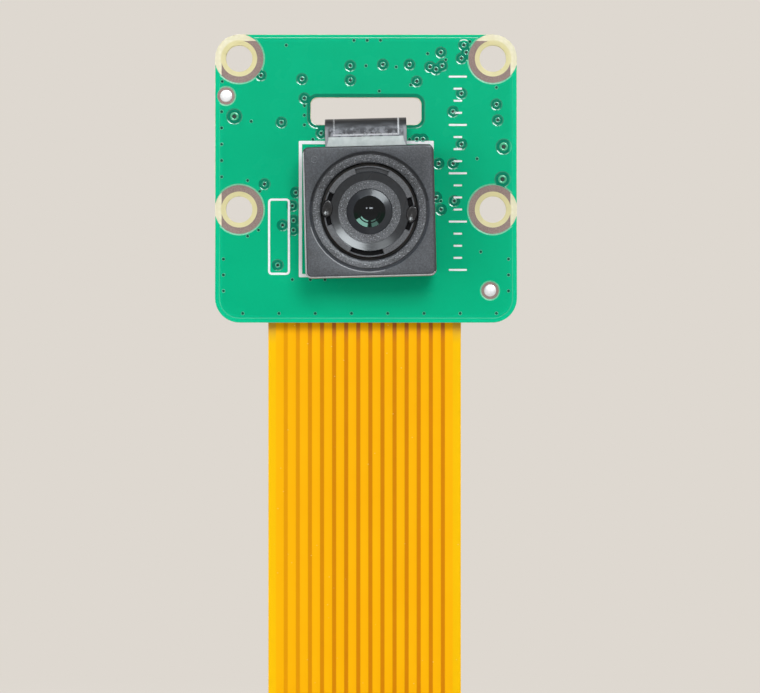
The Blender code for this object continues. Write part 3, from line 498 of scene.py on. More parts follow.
half = CABLE_THICKNESS / 2
margin_edge = [(CABLE_WIDTH / 2 - RIDGE_SLOPE, half - RIDGE), (CABLE_WIDTH / 2, half - 2 * RIDGE)]
outline = [(-across, height) for across, height in reversed(margin_edge)]
for gap in range(TRACK_COUNT - 1):
    middle = FIRST_GAP + gap * TRACK_PITCH
    for across, height in ((-1, 0), (-0.6, -RIDGE), (0.6, -RIDGE), (1, 0)):
        outline.append((middle + across * GAP_WIDTH / 2, half + height))
outline += margin_edge
outline += [(across, -height) for across, height in reversed(outline)]
cable_mesh = strip("ribbon_cable", route, outline, on_cable, 1, CABLE_WIDTH, CABLE_LENGTH)
print(f"cable film of {len(cable_mesh.polygons)} faces")

# %% [markdown]
# ## Amber film
# Seen through the film, the copper tracks shine bright orange, the gaps between them are darker,
# and the bare margins are the brightest yellow. In the two millimetres next to the board, the gaps
# on the right and the margins turn browner. All this follows the UV map in millimetres. A few dust
# specks and a soft unevenness keep it from looking printed.

# %% Amber film finish
FILM_SHOWS = CABLE_TOP - BOARD_LOW
MARGIN_START = 7.28
BARE_END = 4.6


def amber_film():
    film = Finish("amber_film", 0.34)
    across_share, along_share, _ = film.axes(film.uv)
    across = across_share * CABLE_WIDTH - CABLE_WIDTH / 2
    along = along_share * CABLE_LENGTH
    from_gap = film.math("PINGPONG", (across - FIRST_GAP) / TRACK_PITCH, 0.5) * TRACK_PITCH
    half_gaps = (TRACK_COUNT - 2) * TRACK_PITCH / 2
    from_middle = abs(across - (FIRST_GAP + half_gaps))
    edge = GAP_WIDTH / 2
    last_gap = half_gaps + edge + 0.1
    in_gap = film.step(from_gap, edge + 0.05, edge - 0.05)
    in_gap = in_gap * film.step(from_middle, last_gap + 0.05, last_gap)
    rightwards = film.step(across, -7.5, -1.5)
    near_top = film.step(along, FILM_SHOWS + 1.9, FILM_SHOWS + 0.1)
    gap = film.mix(rightwards, (230, 155, 0), (212, 130, 0))
    gap = film.mix(near_top * rightwards, gap, (184, 104, 44))
    uneven = film.noise(5.0, 2.0)
    colour = film.mix(in_gap, film.mix(uneven, (250, 178, 0), (252, 187, 1)), gap)
    margin = film.step(from_middle, MARGIN_START, MARGIN_START + 0.14)
    colour = film.mix(margin, colour, film.mix(near_top, (249, 195, 1), (222, 168, 52)))
    dust = film.add("ShaderNodeTexVoronoi", {"Vector": film.place, "Scale": 1 / (1.1 * MM)})
    speck = film.step(dust.outputs["Distance"], 0.055, 0.03)
    colour = film.mix(speck * 0.5, colour, (255, 224, 150))
    bare = film.step(along, CABLE_LENGTH - BARE_END, CABLE_LENGTH - BARE_END + 0.2)
    contact = bare * (1.0 - in_gap) * (1.0 - margin)
    film.set("Base Color", film.mix(contact, colour, (236, 200, 120)))
    film.set("Metallic", contact)
    film.set("Roughness", uneven * 0.14 + 0.28)
    film.set("Specular IOR Level", 0.06)
    film.bump(film.noise(1.4, 3.0), 0.004)
    return film


cable_nodes = ["cable_stretch", "cable_roll"]
cable = add_piece("ribbon_cable", cable_mesh, [amber_film()], "board", cable_nodes)
blue_film = grained("blue_film", (34, 78, 168), (44, 92, 186), 0.3, 0.4, 0.004)
tie_black = grained("tie_black", (30, 30, 31), (44, 44, 46), 0.12, 0.55, 0.006)
near_stiffener = softened("near_stiffener", blue_film, 0.04, shift=CABLE_SHIFT)
far_stiffener = softened("far_stiffener", blue_film, 0.04, shift=CABLE_SHIFT)
cable_tie = softened("cable_tie", tie_black, 0.06, shift=CABLE_SHIFT)

# %% [markdown]
# ## The circuit board
# A circuit board is a stack. Pale glass-fibre laminate lies in the middle. Copper is printed on
# both faces, and a green solder mask covers all of it except round the holes. The mask follows
# the copper below: it stands a little higher over the large copper area, and dips along the rim,
# round the slot and round many vias, and those edges catch the light as thin pale lines. One
# image could fake this, but real steps of 0.03 mm take any light. So each layer is a flat region,
# made of discs and boxes with others cut out, and its edges slope down to the layer below. Along
# the top rim, and round the lands and the fiducials, the edges also carry a painted pale highlight.

# %% Sizes of the board
BOARD_LEFT, BOARD_RIGHT, BOARD_HIGH = -12.5, 12.5, 14.5
BOARD_BOX = (BOARD_LEFT, BOARD_LOW, BOARD_RIGHT, BOARD_HIGH)
BOARD_CORNER = 2.0
MOUNT_X, MOUNT_HIGH = 10.5, 12.5
MOUNTS = [(x, z) for z in (0.0, MOUNT_HIGH) for x in (-MOUNT_X, MOUNT_X)]
LAND_RADIUS = 2.02
LAND_COPPER_INNER = 1.50
LAND_EDGE_GAP = 0.55
MASK_LIP = 0.03
LAND_OPENING = LAND_RADIUS + MASK_LIP
SLOT = (-4.57, 7.02, 4.57, 9.26)
SLOT_CORNER = 0.6
SLOT_GAP = 0.05
SLOT_RIM = 0.24
COPPER_SIDE_GAP = 0.41
COPPER_TOP_GAP = 0.29
COPPER_CORNER = 1.6
COPPER_LIP = 0.09
FIDUCIALS = [(-11.58, 9.40), (10.27, -6.71)]
FIDUCIAL_OPENING = 0.74
MASK_HEIGHT = 0.012
COPPER_HEIGHT = 0.045
SKIRT = 0.01


def grown(box, amount):
    left, low, right, high = box
    return (left - amount, low - amount, right + amount, high + amount)


class Disc:
    """A round shape on the board: the loop of its outline, and a test for the points in it."""

    def __init__(self, x, z, radius, steps=40):
        self.middle = Vector((x, z))
        self.radius = radius
        turns = [2 * math.pi * step / steps for step in range(steps)]
        self.loop = [(x + radius * math.cos(turn), z + radius * math.sin(turn)) for turn in turns]

    def holds(self, x, z):
        return math.hypot(x - self.middle.x, z - self.middle.y) < self.radius


class Box:
    """A rectangle with round corners on the board, used like a disc."""

    def __init__(self, box, corner, steps=10):
        self.inner = grown(box, -corner)
        self.corner = corner
        self.loop = []
        left, low, right, high = self.inner
        for quarter, (x, z) in enumerate(((right, high), (left, high), (left, low), (right, low))):
            for step in range(steps + 1):
                turn = math.pi / 2 * (quarter + step / steps)
                self.loop.append((x + corner * math.cos(turn), z + corner * math.sin(turn)))

    def holds(self, x, z):
        left, low, right, high = self.inner
        return math.hypot(max(left - x, x - right, 0), max(low - z, z - high, 0)) < self.corner


def discs(places, radius, steps=40):
    return [Disc(x, z, radius, steps) for x, z in places]


def held(shapes, x, z):
    return any(shape.holds(x, z) for shape in shapes)


COPPER_BOX = (*grown(BOARD_BOX, -COPPER_SIDE_GAP)[:3], BOARD_HIGH - COPPER_TOP_GAP)
print(f"board {BOARD_RIGHT - BOARD_LEFT} x {BOARD_HIGH - BOARD_LOW:.2f} mm")


# %% Layers with sloped edges
def front_of_board(x, z, height):
    return (x, BOARD_FRONT - height, z)


def back_of_board(x, z, height):
    return (x, height, z)


SIDES = {"front": front_of_board, "back": back_of_board}


def layer(name, shapes, openings, top, base, place=front_of_board, lip=MASK_LIP, limits=()):
    """A flat layer of shapes, less their openings and what lies past the limits.

    Its edges slope down from top to base and end in a skirt below it, so that no gap shows. They
    have material 1, and its flat faces have material 0.
    """
    spots = []
    cuts = []
    for shape in (*shapes, *openings, *limits):
        first = len(spots)
        size = len(shape.loop)
        spots += [Vector(spot) for spot in shape.loop]
        cuts += [(first + step, first + (step + 1) % size) for step in range(size)]
    flat, _, triangles, *_ = geometry.delaunay_2d_cdt(spots, cuts, [], 0, 1e-5)
    faces = []
    for triangle in triangles:
        middle = sum((flat[corner] for corner in triangle), Vector((0, 0))) / len(triangle)
        inside = held(shapes, *middle) and all(limit.holds(*middle) for limit in limits)
        if inside and not held(openings, *middle):
            faces.append(tuple(triangle))
    flat_count = len(faces)
    sides = dict.fromkeys(side for face in faces for side in zip(face, face[1:] + face[:1]))
    rim = [(start, end) for start, end in sides if (end, start) not in sides]
    outwards = {}
    for start, end in rim:
        along = (flat[end] - flat[start]).normalized()
        for corner in (start, end):
            outwards[corner] = outwards.get(corner, Vector((0, 0))) + Vector((along.y, -along.x))
    points = [place(spot.x, spot.y, top) for spot in flat]
    above = {corner: corner for corner in outwards}
    for height in (base, base - SKIRT):
        below = {}
        for corner, direction in outwards.items():
            spot = flat[corner] + direction.normalized() * lip
            below[corner] = len(points)
            points.append(place(spot.x, spot.y, height))
        faces += [(above[end], above[start], below[start], below[end]) for start, end in rim]
        above = below
    mesh = bpy.data.meshes.new(name)
    mesh.from_pydata(in_metres(points), [], faces)
    for face in mesh.polygons:
        face.material_index = 0 if face.index < flat_count else 1
    if place is back_of_board:
        mesh.flip_normals()
    loose = bmesh.new()
    loose.from_mesh(mesh)
    bmesh.ops.delete(loose, geom=[v for v in loose.verts if not v.link_faces], context="VERTS")
    loose.to_mesh(mesh)
    loose.free()
    return mesh


print("layer maker ready")

# %% [markdown]
# ## Where the parts on the back are
# Nothing on the back can be seen in the photograph, so its parts are guessed from what such a
# board needs: regulators with two capacitors each, an oscillator and two rows of resistors.

# %% Part places on the back
REGULATORS = ["regulator_1", "regulator_2", "regulator_3"]
REGULATOR_X = 6.5
REGULATOR_HEIGHTS = (-0.5, 2.5, 5.5)
CAP_PLACES = [(4.55, middle + offset) for middle in REGULATOR_HEIGHTS for offset in (-0.6, 0.6)]
CAP_PLACES += [(-4.5, 3.9), (-4.5, 5.3)]
RESISTOR_PLACES = [(-7.2 + 1.2 * step, -0.9) for step in range(6)]
RESISTOR_PLACES += [(x, 11.7) for x in (-4.0, -2.6, -1.2, 1.2, 2.6, 4.0)]
LEG_OFFSETS = [(-0.95, -1.0), (0.0, -1.0), (0.95, -1.0), (-0.95, 1.0), (0.95, 1.0)]
LEG_PAD_REACH = 1.18
LEG_PLACES = [(REGULATOR_X + x, middle + z) for middle in REGULATOR_HEIGHTS for x, z in LEG_OFFSETS]
LEG_PADS = [
    (REGULATOR_X + x, middle + LEG_PAD_REACH * z) for middle in REGULATOR_HEIGHTS for x, z in LEG_OFFSETS
]


def node_box(node):
    """Left, low, right and high of a CAD node as seen from the front, in millimetres."""
    corners = [corner.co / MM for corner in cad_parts[node].data.vertices]
    across = [corner.x for corner in corners]
    upwards = [corner.z for corner in corners]
    return (min(across), min(upwards), max(across), max(upwards))


CONTACTS = [f"contact_{number:02d}" for number in range(1, TRACK_COUNT + 1)]
PART_NODES = REGULATORS + CONTACTS + ["oscillator", "board_socket", "connector_housing"]
PART_ROOM, CHIP_ROOM = 0.45, 0.85
PART_SHAPES = discs(CAP_PLACES + RESISTOR_PLACES + LEG_PLACES, CHIP_ROOM)
PART_SHAPES += [Box(grown(node_box(node), PART_ROOM), PART_ROOM) for node in PART_NODES]
print(f"{len(CAP_PLACES) + len(RESISTOR_PLACES)} chip parts and {len(LEG_PLACES)} regulator legs")

# %% [markdown]
# ## Where the vias are
# A via is a plated hole that joins the copper of two layers. A signal via stands in a round dish
# that is kept free of the copper area, and a power via in a larger one. A stitching via ties the
# copper areas together, so it has no dish. The vias with a dish are placed where the photograph
# shows them. The stitching vias run in rows along the rims, with a few single ones between. On the
# back, parts cover some of them.

# %% Via places
SIGNAL_DISH = 0.50
POWER_DISH = 0.68
SIGNAL_VIAS = [
    (-8.7, 11.1), (-5.3, 10.8), (-1.3, 11.9), (-1.3, 10.7), (-5.1, 9.2), (-3.7, 6.3), (-7.0, 7.2),
    (1.4, 12.0), (3.6, 12.0), (6.2, 13.0), (5.3, 11.8), (5.8, 11.6), (6.3, 11.9), (4.2, 10.6),
    (8.1, 13.6), (8.3, 13.0), (7.9, 12.5), (7.9, 9.6), (7.2, 8.1), (7.9, 5.4), (10.8, 8.7),
    (10.9, 7.4), (6.0, 3.8), (7.2, 3.8), (4.2, 5.8), (4.7, 5.8), (-8.4, 2.1), (-5.8, 1.4),
    (-6.1, 0.3), (-6.0, -0.9), (-6.9, -1.3), (-6.0, -1.7), (-7.3, -4.6), (6.2, 0.0), (5.8, 1.0),
    (7.3, 0.7),
]
POWER_VIAS = [(-10.9, 7.7), (11.4, 5.2), (11.3, 2.5)]
STITCHING_VIAS = [
    (-6.6, 13.6), (0.0, 11.9), (2.5, 11.8), (5.1, 12.9), (6.6, 12.4), (8.6, 13.9), (3.7, 10.3),
    (1.1, 9.8), (10.8, 10.1), (9.2, 4.2), (3.6, 5.8), (-11.9, 10.6), (-9.5, 7.3), (-4.4, 5.8),
    (-9.8, 2.4), (-8.8, 1.5), (-8.9, -1.7), (-9.8, -2.2), (-6.1, -5.8), (-4.6, -5.8), (-3.4, -5.8),
    (6.2, 0.7), (9.5, -3.5),
]
STITCHING_VIAS += [(-11.95, 8.1 - 1.35 * step) for step in range(5)]
STITCHING_VIAS += [(side * 11.8, -4.1 - 1.32 * step) for side in (-1, 1) for step in range(3)]
STITCHING_VIAS += [(-1.0 + 1.1 * step, 14.0) for step in range(3)]
STITCHING_VIAS += [(-5.1, 8.6 - 0.8 * step) for step in range(3)]
STITCHING_VIAS += [(-10.2 + 3.0 * step, -8.6) for step in range(8)]
ALL_VIAS = (SIGNAL_VIAS, POWER_VIAS, STITCHING_VIAS)
free_vias = [[spot for spot in vias if not held(PART_SHAPES, *spot)] for vias in ALL_VIAS]
SHOWN_VIAS = {"front": ALL_VIAS, "back": free_vias}
for side, (signal, power, stitching) in SHOWN_VIAS.items():
    print(f"{side}: {len(signal) + len(power)} dished vias and {len(stitching)} stitching vias")

# %% [markdown]
# ## Laminate and mask
# The laminate is a softened copy of the CAD board, so that holes, slot and lands are exactly where
# the CAD has them. Its weave of glass yarn shows faintly through the resin, and a painted shade
# darkens it in a narrow ring at the edge of the mount holes. The mask is a thin green lacquer. Over
# bare laminate at the rim it is bright, in the dishes and round the slot it looks dark, and over
# copper it is the even mid green of the board.

# %% Laminate
YARN_PITCH = 0.45


def laminate_finish():
    laminate = Finish("laminate", 0.5)
    yarns = []
    for turn in (0.0, math.pi / 2):
        mapping = laminate.add("ShaderNodeMapping", {"Vector": laminate.place, "Rotation": (0, turn, 0)})
        inputs = {"Scale": 0.31 / (YARN_PITCH * MM), "Distortion": 1.2, "Detail": 2.0}
        wave = laminate.add("ShaderNodeTexWave", {"Vector": mapping.outputs[0], **inputs}, wave_profile="SIN")
        yarns.append(Value(laminate, wave.outputs["Fac"]))
    weave = yarns[0] * yarns[1]
    pale = laminate.mix(weave, (228, 224, 194), (236, 232, 204))
    pale = laminate.mix(laminate.step(laminate.noise(1.3, 3.0), 0.4, 0.9), pale, (217, 210, 168))
    # Painted shade: a darker ring next to each mount hole.
    x, _, z = laminate.axes(laminate.place)
    across = abs(x) - MOUNT_X * MM
    upwards = abs(z - MOUNT_HIGH / 2 * MM) - MOUNT_HIGH / 2 * MM
    from_hole = (across ** 2 + upwards ** 2) ** 0.5
    painted_shade_by_hole = laminate.step(from_hole, 1.60 * MM, 1.44 * MM)
    laminate.set("Base Color", laminate.mix(painted_shade_by_hole, pale, (217, 210, 158)))
    laminate.set("Subsurface Weight", 0.15)
    laminate.set("Subsurface Radius", (0.0006, 0.0005, 0.0003))
    laminate.bump(weave, 0.006)
    return laminate


board_core = softened("circuit_board", laminate_finish(), 0.03)
print(f"laminate of {len(board_core.data.polygons)} faces")


# %% Solder mask finishes
def rim_distance(finish):
    """How far a point is from the outline of the board, in millimetres, up to the corner radius."""
    x, _, z = finish.axes(finish.place)
    inner_width = (BOARD_RIGHT - BOARD_LEFT) / 2 - BOARD_CORNER
    inner_height = (BOARD_HIGH - BOARD_LOW) / 2 - BOARD_CORNER
    beyond_x = abs(x / MM) - inner_width
    beyond_z = abs(z / MM - (BOARD_HIGH + BOARD_LOW) / 2) - inner_height
    squares = [finish.math("MAXIMUM", beyond, 0.0) ** 2 for beyond in (beyond_x, beyond_z)]
    return BOARD_CORNER - (squares[0] + squares[1]) ** 0.5


def mask_finish(name, rim_colours, field_colours, roughness, painted_top_highlight=None):
    """Green lacquer with a pair of colours near the rim, one in the field, and a painted highlight at the
    top.
    """
    mask = Finish(name, roughness)
    cloud = mask.noise(3.5, 3.0)
    blend = mask.noise(0.18, 2.0) * 0.35 + cloud * 0.65
    rim = mask.mix(blend, *rim_colours)
    if painted_top_highlight:
        _, _, z = mask.axes(mask.place)
        top = mask.step(z, (BOARD_HIGH - 0.6) * MM, (BOARD_HIGH - 0.5) * MM)
        rim = mask.mix(top, rim, painted_top_highlight)
    inwards = mask.step(rim_distance(mask), 0.45, 0.75)
    mask.set("Base Color", mask.mix(inwards, rim, mask.mix(blend, *field_colours)))
    mask.set("Roughness", cloud * 0.16 + (roughness - 0.08))
    mask.set("Specular IOR Level", 0.05)
    mask.bump(mask.noise(0.35, 3.0), 0.003)
    return mask


laminate_colours = ((0, 184, 134), (4, 200, 148)), ((0, 116, 88), (0, 134, 102))
base_mask = mask_finish("mask_on_laminate", *laminate_colours, 0.26)
copper_colours = ((0, 178, 129), (0, 188, 139)), ((0, 170, 122), (0, 184, 134))
copper_mask = mask_finish("mask_on_copper", *copper_colours, 0.26)
edge_colours = ((4, 184, 136), (44, 194, 150)), ((0, 128, 96), (0, 146, 110))
# The near-white colour along the top rim of the edge slopes is a painted highlight.
mask_edge = mask_finish("mask_edge", *edge_colours, 0.16, (238, 250, 244))
mask_edge.set("Specular IOR Level", 0.5)
mask_edge.set("Coat Weight", 0.4)
mask_edge.set("Coat Roughness", 0.12)
# The pale matte colour of the mask edges round the lands and the fiducials is a painted highlight.
land_edge = grained("painted_highlight_at_land", (64, 186, 142), (128, 200, 166), 0.15, 0.5, 0.003)
print("mask finishes mixed")

# %% Solder mask
LAND_DIP = LAND_OPENING + COPPER_LIP
FIDUCIAL_DIP = FIDUCIAL_OPENING + COPPER_LIP
EDGE_REACH = 0.05
mask_shapes = [Box(grown(BOARD_BOX, -MASK_LIP), BOARD_CORNER)]
mask_openings = [Box(grown(SLOT, SLOT_GAP), SLOT_CORNER)] + discs(MOUNTS, LAND_OPENING, 64)
copper_shapes = [Box(COPPER_BOX, COPPER_CORNER)]
copper_openings = [Box(grown(SLOT, SLOT_RIM + COPPER_LIP), SLOT_CORNER + SLOT_RIM)]
copper_openings += discs(MOUNTS, LAND_DIP, 64)
dots = {"front": FIDUCIALS, "back": []}
land_edges = discs(MOUNTS, LAND_DIP + EDGE_REACH) + discs(FIDUCIALS, FIDUCIAL_DIP + EDGE_REACH)


def sheet(name, finish, *layout):
    """A sheet of mask, whose edges at the lands and the fiducials have a finish of their own, painted pale as
    a highlight.
    """
    mesh = layer(name, *layout)
    for face in mesh.polygons:
        x, _, z = face.center / MM
        if face.material_index == 1 and held(land_edges, x, z):
            face.material_index = 2
    add_piece(name, mesh, [finish, mask_edge, land_edge], smooth_angle=15)
    print(f"{name}: {len(mesh.polygons)} faces")


for side, place in SIDES.items():
    openings = mask_openings + discs(dots[side], FIDUCIAL_OPENING)
    sheet("mask_" + side, base_mask, mask_shapes, openings, MASK_HEIGHT, 0.0, place)
for side, place in SIDES.items():
    signal, power, _ = SHOWN_VIAS[side]
    openings = copper_openings + discs(dots[side], FIDUCIAL_DIP)
    openings += discs(signal, SIGNAL_DISH, 28) + discs(power, POWER_DISH, 32)
    heights = (COPPER_HEIGHT, MASK_HEIGHT)
    sheet("copper_area_" + side, copper_mask, copper_shapes, openings, *heights, place, COPPER_LIP)

# %% [markdown]
# ## Bare copper, fiducials and white ink
# Round each screw hole lies a ring of tarnished copper, cut off where it would come too near the
# edge of the board. Two small tinned dots help the placing machine to find the board. White ink
# marks the outline of the module. A scale of plain ticks and an empty field to write on are the
# other prints. Copper and ink are layers like the mask, and the dots are turned domes.

# %% Copper rings and fiducials
FIDUCIAL_TOP = 0.005
DOME_RADIUS, DOME_HEIGHT = 0.5, 0.09
DOME_RINGS, DOME_STEPS = 6, 24
LAND_TOP, LAND_BASE, LAND_LIP = -0.015, -0.04, 0.01
tarnished = grained("tarnished_copper", (122, 102, 96), (148, 130, 124), 0.10, 0.5, 0.003, metallic=0.2)
solder = grained("tin_dome", (214, 217, 222), (240, 242, 245), 0.16, 0.36, 0.014, metallic=0.55)


def domes(name, places):
    """Solder domes on the front of the board, each closed at its top."""
    points = []
    faces = []
    for x, z in places:
        start = len(points)
        for ring in range(DOME_RINGS):
            turn = math.pi / 2 * ring / DOME_RINGS
            height = DOME_HEIGHT * math.sin(turn) + FIDUCIAL_TOP
            rim = Disc(x, z, DOME_RADIUS * math.cos(turn), DOME_STEPS)
            points += [front_of_board(*spot, height) for spot in rim.loop]
        last = len(points) - DOME_STEPS
        points.append(front_of_board(x, z, DOME_HEIGHT + FIDUCIAL_TOP))
        faces += [tuple(start + corner for corner in face) for face in skin_faces(DOME_RINGS, DOME_STEPS)]
        for step in range(DOME_STEPS):
            faces.append((last + step, last + (step + 1) % DOME_STEPS, len(points) - 1))
    return mesh_from(name, points, faces)


lands = discs(MOUNTS, LAND_RADIUS, 64), discs(MOUNTS, LAND_COPPER_INNER, 64), LAND_TOP, LAND_BASE
land_limits = [Box(grown(BOARD_BOX, -LAND_EDGE_GAP), BOARD_CORNER - LAND_EDGE_GAP)]
for side, place in SIDES.items():
    land_copper = layer("land_copper_" + side, *lands, place, LAND_LIP, land_limits)
    add_piece("land_copper_" + side, land_copper, [tarnished] * 2)
fiducial_shapes = discs(FIDUCIALS, FIDUCIAL_OPENING)
fiducial_copper = layer("fiducial_copper", fiducial_shapes, [], FIDUCIAL_TOP, 0.0, lip=FIDUCIAL_TOP)
add_piece("fiducial_copper", fiducial_copper, [tarnished] * 2)
add_piece("fiducial_domes", domes("fiducial_domes", FIDUCIALS), [solder])
print(f"{len(MOUNTS)} copper rings a side and {len(FIDUCIALS)} fiducials")

# %% White ink
INK_THICKNESS = 0.014
INK_TOP = COPPER_HEIGHT + INK_THICKNESS
INK_LIP = 0.012
MODULE_FRAME = ((-5.55, -5.59, 5.59, 5.67), 0.25, 0.06)
MODULE_GAP, GAP_CORNER = (0.0, -5.8, 5.8, -5.2), 0.05
INK_LINE = 0.16
FIELD_FRAME = ((-8.1, -5.4, -6.3, 0.9), INK_LINE, 0.3)
BACK_ROOM, BACK_CORNER = 0.3, 0.2
BACK_BOXES = [grown(node_box(node), BACK_ROOM) for node in ("oscillator", "board_socket")]
BACK_BOXES += [(-7.9, -1.75, -0.5, -0.05), (-4.7, 10.85, -0.5, 12.55), (0.5, 10.85, 4.7, 12.55)]
PIN_DOT_X, PIN_DOT_RISE, PIN_DOT_RADIUS = 8.3, 0.45, 0.2
PIN_DOTS = [(PIN_DOT_X, node_box(node)[3] + PIN_DOT_RISE) for node in REGULATORS]
white_ink = grained("white_ink", (232, 235, 240), (244, 246, 250), 0.09, 0.6, 0.004)


def printed(name, frames, place, extra_shapes=(), extra_openings=()):
    """White frames, each with its box, the width of its line and its corner."""
    shapes = [Box(box, corner, 4) for box, _, corner in frames]
    openings = [Box(grown(box, -line), corner / 2, 4) for box, line, corner in frames]
    shapes += extra_shapes
    openings += extra_openings
    mesh = layer(name, shapes, openings, INK_TOP, COPPER_HEIGHT, place, INK_LIP)
    add_piece(name, mesh, [white_ink] * 2)
    print(f"{name}: {len(frames)} frames, {len(mesh.polygons)} faces")


front_frames = [MODULE_FRAME, FIELD_FRAME]
back_frames = [(box, INK_LINE, BACK_CORNER) for box in BACK_BOXES]
printed("white_outlines", front_frames, front_of_board, (), [Box(MODULE_GAP, GAP_CORNER, 4)])
printed("back_outlines", back_frames, back_of_board, discs(PIN_DOTS, PIN_DOT_RADIUS, 20))

# %% [markdown]
# ## Things that repeat
# Vias, scale ticks, chip parts and solder pads come in dozens. Geometry Nodes place them: a tree
# takes a handful of points, builds one small item from its named sizes, and puts that item on
# every point, turned and scaled by the point's own values. Two trees do for all of them. One
# makes a round ring, the other a flat bar with round corners, which with full corners is a disc.


# %% Two repeating trees
def repeating_tree(name, sizes, make_item):
    """A node tree that puts one item, made from named sizes, on every point that it is given."""
    tree = bpy.data.node_groups.new(name, "GeometryNodeTree")
    sockets = [("Places", "Geometry")] + [(label, "Float") for label in sizes] + [("Finish", "Material")]
    for label, kind in sockets:
        tree.interface.new_socket(label, in_out="INPUT", socket_type="NodeSocket" + kind)
    tree.interface.new_socket("Pieces", in_out="OUTPUT", socket_type="NodeSocketGeometry")
    make = Nodes(tree)
    given = make.add("NodeGroupInput").outputs
    turn = make.add("GeometryNodeInputNamedAttribute", {"Name": "turn"}, data_type="FLOAT_VECTOR")
    scale = make.add("GeometryNodeInputNamedAttribute", {"Name": "scale"}, data_type="FLOAT")
    rotation = make.add("FunctionNodeEulerToRotation", {0: turn.outputs["Attribute"]})
    points = {"Points": given["Places"], "Instance": make_item(make, given)}
    own = {"Rotation": rotation.outputs[0], "Scale": scale.outputs["Attribute"]}
    scatter = make.add("GeometryNodeInstanceOnPoints", {**points, **own})
    join = make.add("GeometryNodeRealizeInstances", {0: scatter.outputs[0]})
    dress = make.add("GeometryNodeSetMaterial", {"Geometry": join.outputs[0], "Material": given["Finish"]})
    make.add("NodeGroupOutput", {"Pieces": dress.outputs[0]})
    return tree


def ring_item(make, sizes):
    """A round ring: a small circle swept round a larger one."""
    path = make.add("GeometryNodeCurvePrimitiveCircle", {"Resolution": 18, "Radius": sizes["Radius"]})
    profile = make.add("GeometryNodeCurvePrimitiveCircle", {"Resolution": 8, "Radius": sizes["Thickness"]})
    curves = {"Curve": path.outputs[0], "Profile Curve": profile.outputs[0]}
    return make.add("GeometryNodeCurveToMesh", curves).outputs[0]


def bar_item(make, sizes):
    """A flat bar with round corners, standing on its point."""
    sides = {"Width": sizes["Length"], "Height": sizes["Width"]}
    outline = make.add("GeometryNodeCurvePrimitiveQuadrilateral", sides)
    rounding = {"Curve": outline.outputs[0], "Radius": sizes["Corner"], "Count": 4}
    corners = make.add("GeometryNodeFilletCurve", rounding, mode="POLY")
    fill = make.add("GeometryNodeFillCurve", {"Curve": corners.outputs[0]}, mode="NGONS")
    upwards = {"Mesh": fill.outputs[0], "Offset Scale": sizes["Height"]}
    return make.add("GeometryNodeExtrudeMesh", upwards).outputs["Mesh"]


RING_SIZES = ("Radius", "Thickness")
BAR_SIZES = ("Length", "Width", "Height", "Corner")
RING_TREE = repeating_tree("rings_on_points", RING_SIZES, ring_item)
BAR_TREE = repeating_tree("bars_on_points", BAR_SIZES, bar_item)


def repeat(name, tree, finish, places, sizes):
    """Run a repeating tree on (point, turn, scale) places and keep the result as a plain mesh."""
    carrier_mesh = bpy.data.meshes.new(name + "_places")
    carrier_mesh.from_pydata(in_metres(spot for spot, _, _ in places), [], [])
    carrier_mesh.attributes.new("turn", "FLOAT_VECTOR", "POINT")
    carrier_mesh.attributes.new("scale", "FLOAT", "POINT")
    for index, (_, turn, scale) in enumerate(places):
        carrier_mesh.attributes["turn"].data[index].vector = turn
        carrier_mesh.attributes["scale"].data[index].value = scale
    carrier = bpy.data.objects.new(name + "_places", carrier_mesh)
    scene.collection.objects.link(carrier)
    modifier = carrier.modifiers.new("repeat", "NODES")
    modifier.node_group = tree
    for item in tree.interface.items_tree:
        if item.in_out == "INPUT" and item.name in sizes:
            modifier[item.identifier] = sizes[item.name] * MM
        if item.in_out == "INPUT" and item.name == "Finish":
            modifier[item.identifier] = finish.material
    evaluated = carrier.evaluated_get(bpy.context.evaluated_depsgraph_get())
    mesh = bpy.data.meshes.new_from_object(evaluated)
    mesh.name = name
    mesh.materials.clear()
    bpy.data.objects.remove(carrier)
    add_piece(name, mesh, [finish])
    print(f"{name}: {len(places)} items, {len(mesh.polygons)} faces")


def rings(name, finish, places, sizes):
    """Rings whose sizes are their radius and thickness."""
    repeat(name, RING_TREE, finish, places, dict(zip(RING_SIZES, sizes)))


def bars(name, finish, places, sizes):
    """Bars whose sizes are their length, width, height and corner."""
    repeat(name, BAR_TREE, finish, places, dict(zip(BAR_SIZES, sizes)))


# %% Vias and scale ticks
TURNS = {"front": (math.pi / 2, 0, 0), "back": (-math.pi / 2, 0, 0)}
VIA_RING, POWER_RING, STITCH_RING = (0.17, 0.06), (0.27, 0.10), (0.13, 0.02)
VIA_LIFT, POWER_LIFT, HOLE_LIFT = 0.03, -0.02, 0.016
POWER_SCALE = 1.4
HOLE_WIDTH, HOLE_CORNER = 0.24, 0.115
VIA_HOLE = (HOLE_WIDTH, HOLE_WIDTH, 0.003, HOLE_CORNER)
STITCH_HOLE = (HOLE_WIDTH, HOLE_WIDTH, 0.006, HOLE_CORNER)
via_pad = grained("via_pad", (20, 140, 108), (84, 182, 152), 0.10, 0.25, 0.003)
via_pad.set("Coat Weight", 0.2)
via_pad.set("Coat Roughness", 0.12)
power_pad = grained("power_pad", (44, 168, 122), (84, 192, 146), 0.10, 0.3, 0.003)
via_hole = grained("via_hole", (2, 30, 21), (14, 46, 35), 0.08, 0.6, 0.003)
stitch_rim = grained("stitching_rim", (40, 158, 124), (104, 194, 166), 0.08, 0.35, 0.003)
stitch_hole = grained("stitching_hole", (0, 76, 56), (10, 96, 72), 0.08, 0.6, 0.003)
stitch_hole.set("Specular IOR Level", 0.1)


def spread(places, side, height, scale=1.0):
    """Places on a side of the board for a repeating tree."""
    return [(SIDES[side](x, z, height), TURNS[side], scale) for x, z in places]


